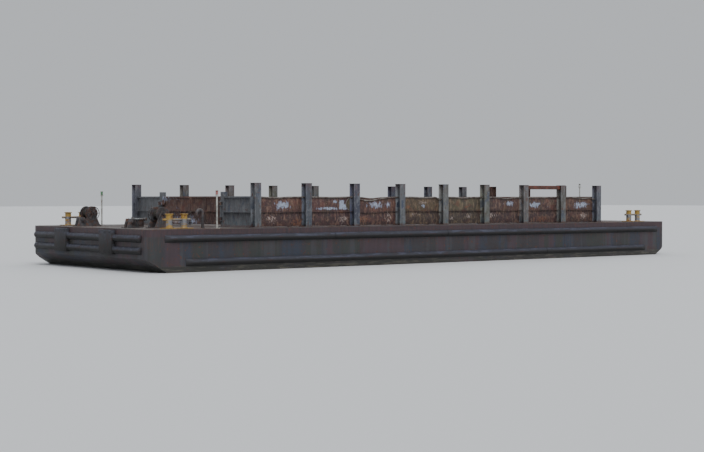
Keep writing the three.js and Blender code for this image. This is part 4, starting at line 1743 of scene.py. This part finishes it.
@dataclass
class Winches(Assembly):
    """The two hand winches: plate cheeks, and a drum wound with wire, with its hand wheel.

    Attributes:
        drum_half: half the drum's length.
        flange_half: half the thickness of its flanges.
        turns: each layer's first and last turn of wire, in wire radii from the drum's middle.
        nest: how far a layer lies above the one under it, in wire radii.
        wheel_in: how far the hand wheel's middle lies inside the shaft's end.
        rim: the wheel's radius.
        rim_bar: the radius of its rim's bar.
        hub: the radius and the half length of its hub.
        spoke_root: how far from the wheel's middle its spokes start.
    """

    shaft: float = 0.032
    drum: float = 0.15
    drum_half: float = 0.23
    flange: float = 0.29
    flange_half: float = 0.01
    wire: float = 0.011
    turns: tuple[tuple[int, int], ...] = ((-19, 19), (-15, 13))
    nest: float = 1.75
    wheel_in: float = 0.02
    rim: float = 0.27
    rim_bar: float = 0.016
    hub: tuple[float, float] = (0.06, 0.02)
    spokes: int = 6
    spoke: float = 0.012
    spoke_root: float = 0.05

    def wheel(self, form: Form, hub: Vector) -> None:
        """Add the hand wheel.

        Args:
            form: the form that takes it.
            hub: its middle.
        """
        radius, half = self.hub
        along = Vector((0, half, 0))
        form.rod(hub - along, hub + along, radius, 32, 0.006)
        form.pipe(circle(hub, self.rim, 48, Axis.Y), self.rim_bar, 12, closed=True)
        for tip in circle(hub, self.rim, self.spokes, Axis.Y):
            form.rod(hub.lerp(tip, self.spoke_root / self.rim), tip, self.spoke, 12, 0)

    def drum_of(self, side: Side) -> None:
        """Build one winch's turning part.

        Args:
            side: the winch's side.
        """
        node = f"winch_drum_{side.tag}"
        low, high, centre = span(node)
        form = Form()
        form.rod((centre.x, low.y, centre.z), (centre.x, high.y, centre.z), self.shaft, 32)
        form.turned([(0, -self.drum_half), (self.drum, -self.drum_half),
                     (self.drum, self.drum_half), (0, self.drum_half)], facing(Axis.Y, centre))
        rim, half, edge = self.flange, self.flange_half, 0.004
        cheek = [(0, -half), (rim - edge, -half), (rim, edge - half), (rim, half - edge),
                 (rim - edge, half), (0, half)]
        for shift in (-self.drum_half, self.drum_half):
            form.turned(cheek, facing(Axis.Y, centre + Vector((0, shift, 0))), 64)
        y = low.y + self.wheel_in if side is Side.PORT else high.y - self.wheel_in
        self.wheel(form, Vector((centre.x, y, centre.z)))
        form.piece(node + "_turned", self.finishes.gear, node, [node])

    def wire_of(self, side: Side) -> None:
        """Wind one drum's wire in turns that lie side by side.

        Args:
            side: the winch's side.
        """
        node = f"winch_drum_{side.tag}"
        centre = span(node)[2]
        form = Form()
        for layer, (first, last) in enumerate(self.turns):
            radius = self.drum + self.wire * (1 + self.nest * layer)
            for step in range(first, last + 1, 2):
                middle = centre + Vector((0, step * self.wire, 0))
                form.pipe(circle(middle, radius, 40, Axis.Y), self.wire, 8, closed=True)
        form.piece(f"winch_wire_{side.tag}", self.finishes.wire, node)

    def build(self) -> None:
        """Build both winches."""
        for side in Side:
            softened(f"winch_frame_{side.tag}", self.finishes.gear, width=0.004)
            self.drum_of(side)
            self.wire_of(side)


@dataclass
class Hatches(Assembly):
    """The raised hatches: a round coaming and a hinged lid held down by screw dogs.

    Attributes:
        seat: the height of the lid's foot above the coaming's.
        hinge_out: how far the hinge pin lies from the lid's middle.
        hinge_up: how far it lies above the lid's foot.
        lug: the half width of the hinge's arm, how far it reaches in over the lid, and its top.
        grip: the handle's points, as places across the barge and heights above the lid's foot.
        grip_at: how far the handle lies from the lid's middle.
        dog: a dog's radius and height.
        dog_arm: the radius and the half length of its cross bar.
    """

    radius: float = 0.352
    seat: float = 0.3003
    hinge_out: float = 0.412
    hinge_up: float = 0.0197
    lug: tuple[float, float, float] = (0.04, 0.12, 0.026)
    grip: Outline = ((-0.1, 0.02), (-0.1, 0.06), (-0.085, 0.078), (0.085, 0.078), (0.1, 0.06),
                     (0.1, 0.02))
    grip_at: float = 0.16
    dogs: int = 6
    dog_ring: float = 0.29
    dog: tuple[float, float] = (0.016, 0.045)
    dog_arm: tuple[float, float] = (0.008, 0.045)

    def screw_dogs(self, form: Form, foot: Vector) -> None:
        """Add the dogs with their cross bars.

        Args:
            form: the form that takes them.
            foot: the middle of the lid's foot.
        """
        radius, height = self.dog
        bar, reach = self.dog_arm
        up = Vector((0, 0, height))
        for spot in circle(foot, self.dog_ring, self.dogs, first=0.5):
            form.rod(spot, spot + up, radius, 16, 0.002)
            arm = up.cross(spot - foot).normalized() * reach
            top = spot + up - Vector((0, 0, 3 * MM))
            form.rod(top - arm, top + arm, bar, 10, 0.002)

    def lid(self, end: End) -> None:
        """Build one lid with its hinge, handle and dogs.

        Args:
            end: the hatch's end of the barge.
        """
        node = f"{end.tag}_hatch_lid"
        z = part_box(f"{end.tag}_hatch_coaming")[0].z + self.seat
        foot = Vector((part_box(node)[1].x - self.radius, 0, z))
        rim = self.radius
        half, inward, top = self.lug
        dome = [(0, 0), (rim, 0), (rim, 0.01), (rim - 0.006, 0.014), (rim - 0.09, 0.016),
                (rim - 0.12, 0.026), (0.1, 0.032), (0, 0.033)]
        sleeve = [(0.015, -0.08), (0.03, -0.08), (0.03, 0.08), (0.015, 0.08)]
        hinge = foot + Vector((-self.hinge_out, 0, self.hinge_up))
        form = Form()
        form.turned(dome, facing(Axis.Z, foot), 64)
        form.block((hinge.x, -half, z + 0.002), (foot.x - rim + inward, half, z + top), 0.004)
        form.turned(sleeve, facing(Axis.Y, hinge), 32)
        form.pipe([foot + Vector((self.grip_at, y, up)) for y, up in self.grip], 0.011, 12)
        self.screw_dogs(form, foot)
        form.piece(node + "_dogged", self.finishes.lid, node, [node])

    def build(self) -> None:
        """Build both hatches."""
        for end in End:
            softened(f"{end.tag}_hatch_coaming", self.finishes.gear, width=0.003)
            self.lid(end)


@dataclass
class Vents(Assembly):
    """The gooseneck vents: a bent pipe on a flange, with a closing disc at its mouth.

    Attributes:
        height: the height of the bend's middle line.
        drop: how far the mouth hangs below the bend.
        flange: the flange's radius and thickness.
        set_in: how far the pipe's face stands in from the node's after end.
        bolt_ring: the radius that the flange's six bolts stand on.
        bolt: a bolt's radius and height.
    """

    radius: float = 0.057
    bend: float = 0.13
    height: float = 0.7
    drop: float = 0.09
    flange: tuple[float, float] = (0.1, 0.02)
    set_in: float = 0.045
    bolt_ring: float = 0.08
    bolt: tuple[float, float] = (0.01, 0.014)

    def one(self, end: End) -> None:
        """Build one vent.

        Args:
            end: its end of the barge.
        """
        node = f"{end.tag}_vent"
        low, _, middle = span(node)
        wide, thick = self.flange
        foot = Vector((low.x + self.radius + self.set_in, middle.y, low.z))
        rise = self.height - self.bend
        bend = [(self.bend * (1 - math.cos(a)), rise + self.bend * math.sin(a))
                for a in (math.pi * k / 16 for k in range(1, 17))]
        # A point 0.2 under the bend keeps the bend's shading off the rest of the straight pipe
        path = [(0, 0.01), (0, rise - 0.2), (0, rise), *bend, (2 * self.bend, rise - self.drop)]
        disc = self.radius + 0.006
        mouth = [(0, 0), (self.radius - 0.002, 0), (disc, 0.006), (disc, 0.03), (0, 0.03)]
        form = Form()
        form.pipe([foot + Vector((out, 0, up)) for out, up in path], self.radius, 32)
        form.turned([(0, 0), (wide, 0), (wide, thick - 0.004), (wide - 0.004, thick), (0, thick)],
                    facing(Axis.Z, foot))
        form.studs(circle(foot + Vector((0, 0, thick - 2 * MM)), self.bolt_ring, 6), *self.bolt)
        form.turned(mouth, facing(Axis.Z, foot + Vector(
            (2 * self.bend, 0, rise - self.drop + 0.001))), 32)
        form.piece(node + "_bent", self.finishes.gear, nodes=[node])

    def build(self) -> None:
        """Build both vents."""
        for end in End:
            self.one(end)


@dataclass
class Lamps(Assembly):
    """The lamp posts: a pole on a base plate, and a lantern with its glass between bars.

    Attributes:
        base: the half width of the pole's base plate.
        tray: the half width of the lantern's tray.
        lantern: the lantern's height, from the tray's foot to the lamp's top.
        bolt_ring: the radius that the base's bolts stand on.
        bolt: a bolt's radius and height.
        guard_ring: the radius that the bars round the glass stand on.
        guard: a bar's radius and height.
        glass: the glass's outer radius.
        groove: how deep its grooves are.
        grooves: how many it has, and their pitch.
    """

    pole: float = 0.032
    base: float = 0.09
    tray: float = 0.06
    plate: float = 0.014
    lantern: float = 0.211
    bolt_ring: float = 0.1
    bolt: tuple[float, float] = (0.009, 0.014)
    guard_ring: float = 0.053
    guard: tuple[float, float] = (0.004, 0.16)
    glass: float = 0.05
    groove: float = 0.006
    grooves: tuple[int, float] = (7, 0.02)

    def lens(self) -> Outline:
        """Draw the profile of the grooved glass.

        Returns:
            The profile, with its heights above the tray's foot.
        """
        inner = self.glass - self.groove
        count, pitch = self.grooves
        rings = [(r, up + k * pitch) for k in range(count)
                 for r, up in ((inner, 0.04), (self.glass, 0.05))]
        return [(0, 0.038), *rings, (inner, 0.186), (0, 0.186)]

    def one(self, node: str) -> None:
        """Build one lamp post.

        Args:
            node: its node.
        """
        low, high, middle = span(node)
        foot = Vector((middle.x, middle.y, low.z))
        tray = Vector((middle.x, middle.y, high.z - self.lantern))
        collar = [(0, 0.012), (0.055, 0.012), (0.055, 0.035), (0.048, 0.04), (0, 0.04)]
        roof = [(0, 0.185), (0.066, 0.185), (0.068, 0.19), (0.05, 0.2), (0.02, 0.207), (0, 0.209)]
        form = Form()
        for at, half in ((foot, self.base), (tray, self.tray)):
            form.block(at - Vector((half, half, 0)), at + Vector((half, half, self.plate)), 0.003)
        form.rod(foot + Vector((0, 0, 0.01)), tray, self.pole, 24, 0)
        form.studs(circle(foot + Vector((0, 0, self.plate - 2 * MM)), self.bolt_ring, 4,
                          first=0.5), *self.bolt)
        form.turned(collar, facing(Axis.Z, tray), 32)
        form.turned(roof, facing(Axis.Z, tray), 32)
        form.studs(circle(tray + Vector((0, 0, 0.03)), self.guard_ring, 6), *self.guard, sides=8)
        form.piece(node + "_pole", self.finishes.pole, nodes=[node])
        glass = Form()
        glass.turned(self.lens(), facing(Axis.Z, tray), 32)
        glass.piece(node + "_glass", self.finishes.glass[node])

    def build(self) -> None:
        """Build the three lamps."""
        for node in self.finishes.glass:
            self.one(node)


@dataclass
class Deck(Assembly):
    """The deck plate with its weld seams, flush manholes and lashing rings.

    Attributes:
        plate: the length and the width of a deck plate.
        seam: the radius of a weld bead.
        seam_down: how far its middle lies under the deck's face.
        seam_short: how far the beads end before the sides and the ends.
        manhole: a cover's half length, its thickness, and its width as a part of its length.
        stud_oval: the half length and half width of the oval that its studs stand on.
        stud: a stud's radius and height.
        ring_rows: how far across the barge the rows of lashing rings lie.
        rings: how many rings of a row lie on each side of its middle one.
        ring_start: how far a row is shifted towards the bow.
        strap: the half length, half width and height of a ring's strap.
        ring: how far a ring's middle lies from its strap's, and its half length and half width.
        ring_up: the height of the middle of its bar.
    """

    plate: tuple[float, float] = (2.44, 1.625)
    seam: float = 0.009
    seam_down: float = 0.005
    seam_short: tuple[float, float] = (0.1, 0.3)
    manholes: Outline = ((8.2, 3.2), (8.2, -3.2), (0.0, 3.2), (0.0, -3.2), (-8.2, 3.2),
                         (-8.2, -3.2))
    manhole: tuple[float, float, float] = (0.3, 0.012, 0.72)
    stud_oval: tuple[float, float] = (0.26, 0.18)
    studs: int = 16
    stud: tuple[float, float] = (0.011, 0.012)
    ring_rows: tuple[float, ...] = (-4.1, 4.1)
    rings: int = 3
    ring_pitch: float = 2.44
    ring_start: float = 0.4
    strap: tuple[float, float, float] = (0.03, 0.045, 0.03)
    ring: tuple[float, float, float] = (0.065, 0.075, 0.055)
    ring_up: float = 0.014
    ring_bar: float = 0.011

    def seams(self) -> None:
        """Lay the weld beads between the plates."""
        form = Form()
        z = DECK - self.seam_down
        across = HALF_BEAM - self.seam_short[0]
        along = HALF_LENGTH - self.seam_short[1]
        length, width = self.plate
        long_count, wide_count = round(HALF_LENGTH / length), round(HALF_BEAM / width)
        for i in range(1 - long_count, long_count):
            form.rod((i * length, -across, z), (i * length, across, z), self.seam, 8, 0)
        for i in range(1 - wide_count, wide_count):
            form.rod((-along, i * width, z), (along, i * width, z), self.seam, 8, 0)
        form.piece("deck_weld_seams", self.finishes.deck)

    def cover(self, form: Form, x: float, y: float) -> None:
        """Add one oval manhole cover with its studs.

        Args:
            form: the form that takes it.
            x: its place along the barge.
            y: its place across.
        """
        radius, thick, narrow = self.manhole
        part = bmesh.new()
        bmesh.ops.create_cone(
            part, cap_ends=True, segments=48, radius1=radius, radius2=radius, depth=thick,
            matrix=Matrix.LocRotScale((x, y, DECK + thick / 2), None, (1.0, narrow, 1.0)))
        round_off(part, 0.002)
        form.take(part)
        long, wide = self.stud_oval
        form.studs(circle((x, y, DECK + thick - MM), long, self.studs, across=wide), *self.stud)

    def lashing(self, form: Form, x: float, y: float) -> None:
        """Add one folded-down lashing ring with its strap.

        Args:
            form: the form that takes it.
            x: its place along the barge.
            y: its place across.
        """
        half, wide, tall = self.strap
        out, long, narrow = self.ring
        form.block((x - half, y - wide, DECK), (x + half, y + wide, DECK + tall), 0.006)
        form.pipe(circle((x + out, y, DECK + self.ring_up), long, 20, across=narrow),
                  self.ring_bar, 8, closed=True)

    def build(self) -> None:
        """Build the deck's details and dress its plate."""
        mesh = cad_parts["deck_plate"].data
        mesh.materials.clear()
        mesh.materials.append(self.finishes.deck)
        log.info("deck_plate: %d faces on barge", len(mesh.polygons))
        self.seams()
        covers = Form()
        for x, y in self.manholes:
            self.cover(covers, x, y)
        covers.piece("manhole_covers", self.finishes.deck)
        rings = Form()
        for y in self.ring_rows:
            for i in range(-self.rings, self.rings + 1):
                self.lashing(rings, i * self.ring_pitch + self.ring_start, y)
        rings.piece("lashing_rings", self.finishes.pin)


@dataclass
class Ends(Assembly):
    """What the two ends carry: fender pipes with steel push pads, tow pads and skegs.

    Attributes:
        pad_y: how far a push pad's middle lies from the barge's.
        bolt_y: the bolts' places across a pad.
        bolt_in: how far they lie inside its upper and lower edges.
        bolt: a bolt head's radius and length.
        anode: half an anode's length, its thickness and half its height.
        anode_places: the anodes' places along the skeg and their heights.
    """

    pad_y: float = 1.9
    bolt_y: tuple[float, ...] = (-0.4, 0.0, 0.4)
    bolt_in: float = 0.09
    bolt: tuple[float, float] = (0.028, 0.024)
    anode: tuple[float, float, float] = (0.15, 0.02, 0.04)
    anode_places: Outline = ((-13.3, 0.4), (-12.6, 0.25))

    def bolts(self, end: End) -> None:
        """Add the bolt heads on one end's push pads.

        Args:
            end: the end.
        """
        low, high, _ = span(f"{end.tag}_fender")
        face = high.x if end is End.BOW else low.x
        radius, length = self.bolt
        root = face - end.value * length
        form = Form()
        for side in Side:
            for across in self.bolt_y:
                for z in (low.z + self.bolt_in, high.z - self.bolt_in):
                    y = side.value * self.pad_y + across
                    form.rod((root, y, z), (face, y, z), radius, 20, 0.003)
        form.piece(f"{end.tag}_pad_bolts", self.finishes.pin)

    def anodes(self, side: Side) -> None:
        """Add the zinc anodes on one skeg.

        Args:
            side: the skeg's side.
        """
        low, high, _ = span(f"skeg_{side.tag}")
        half, thick, tall = self.anode
        form = Form()
        for x, z in self.anode_places:
            for y0, y1 in ((high.y, high.y + thick), (low.y - thick, low.y)):
                form.block((x - half, y0, z - tall), (x + half, y1, z + tall), 0.008)
        form.piece(f"skeg_anodes_{side.tag}", self.finishes.zinc)

    def build(self) -> None:
        """Dress both ends."""
        for end in End:
            softened(f"{end.tag}_fender", self.finishes.rail, width=0.012)
            self.bolts(end)
        for side in Side:
            softened(f"tow_pad_{side.tag}", self.finishes.gear, width=0.006)
            softened(f"skeg_{side.tag}", self.finishes.hull, width=0.008)
            self.anodes(side)


@dataclass
class Studio:
    """A pale floor at the waterline, soft light, and the camera at the photograph's viewpoint.

    Attributes:
        eye: the camera's place.
        heading: the angle in degrees from -Y, towards -X, that it looks along.
        pitch: how far it looks up, in degrees.
        lens: its focal length in millimetres, on a sensor 36 mm wide.
        floor: half the floor's width.
        suns: each soft sun's name, strength, width in degrees and direction.
    """

    eye: Point = (39.6, 48.6, 3.73)
    heading: float = 38.2
    pitch: float = -1.15
    lens: float = 70.0
    floor: float = 400.0
    floor_colour: str = "#d3d5d7"
    sky: str = "#dfe3e8"
    sky_strength: float = 0.75
    suns: tuple[tuple[str, float, float, Point], ...] = (
        ("key_light", 1.9, 45, (-0.25, -0.6, -0.8)), ("fill_light", 0.57, 60, (0.6, 0.6, -0.6)))

    def hang(self, name: str, data: bpy.types.ID, look: Point | None = None,
             at: Point = (0, 0, 0)) -> Piece:
        """Put something into the scene.

        Args:
            name: its name.
            data: its camera, light or mesh.
            look: the direction that its own -Z is turned to.
            at: its place.

        Returns:
            The new object.
        """
        made = bpy.data.objects.new(name, data)
        bpy.context.scene.collection.objects.link(made)
        made.location = at
        if look is not None:
            made.rotation_euler = Vector(look).to_track_quat("-Z", "Y").to_euler()
        return made

    def place_camera(self) -> None:
        """Put the camera in its place."""
        camera = bpy.data.cameras.new("photograph_viewpoint")
        camera.lens = self.lens
        camera.sensor_width = 36.0
        camera.clip_end = 2.5 * self.floor
        turn, tilt = math.radians(self.heading), math.radians(self.pitch)
        look = (-math.sin(turn) * math.cos(tilt), -math.cos(turn) * math.cos(tilt),
                math.sin(tilt))
        bpy.context.scene.camera = self.hang(camera.name, camera, look, self.eye)

    def lay_floor(self) -> None:
        """Lay the floor at the waterline."""
        part = bmesh.new()
        bmesh.ops.create_grid(part, x_segments=1, y_segments=1, size=self.floor)
        bmesh.ops.translate(part, verts=part.verts, vec=(0, 0, WATERLINE))
        mesh = bpy.data.meshes.new("floor")
        part.to_mesh(mesh)
        part.free()
        mesh.materials.append(Shader("matt_studio_floor").done(self.floor_colour, 0.9))
        self.hang("floor", mesh)

    def light(self) -> None:
        """Light the scene with an even sky and the soft suns."""
        world = bpy.data.worlds.new("soft_sky")
        world.use_nodes = True
        sky = world.node_tree.nodes["Background"].inputs
        sky["Color"].default_value = linear(self.sky)
        sky["Strength"].default_value = self.sky_strength
        bpy.context.scene.world = world
        for name, strength, width, direction in self.suns:
            sun = bpy.data.lights.new(name, "SUN")
            sun.energy = strength
            sun.angle = math.radians(width)
            self.hang(name, sun, direction)

    def build(self) -> None:
        """Set the stage."""
        self.place_camera()
        self.lay_floor()
        self.light()


def main() -> None:
    """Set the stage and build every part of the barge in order."""
    logging.basicConfig(level=logging.INFO, format="%(name)s: %(message)s")
    Studio().build()
    finishes = Finishes()
    for part in (Hull, Deck, RubRails, Fence, EndWalls, Bitts, Winches, Hatches, Vents, Lamps,
                 Ends):
        part(finishes).build()


if __name__ == "__main__":
    main()
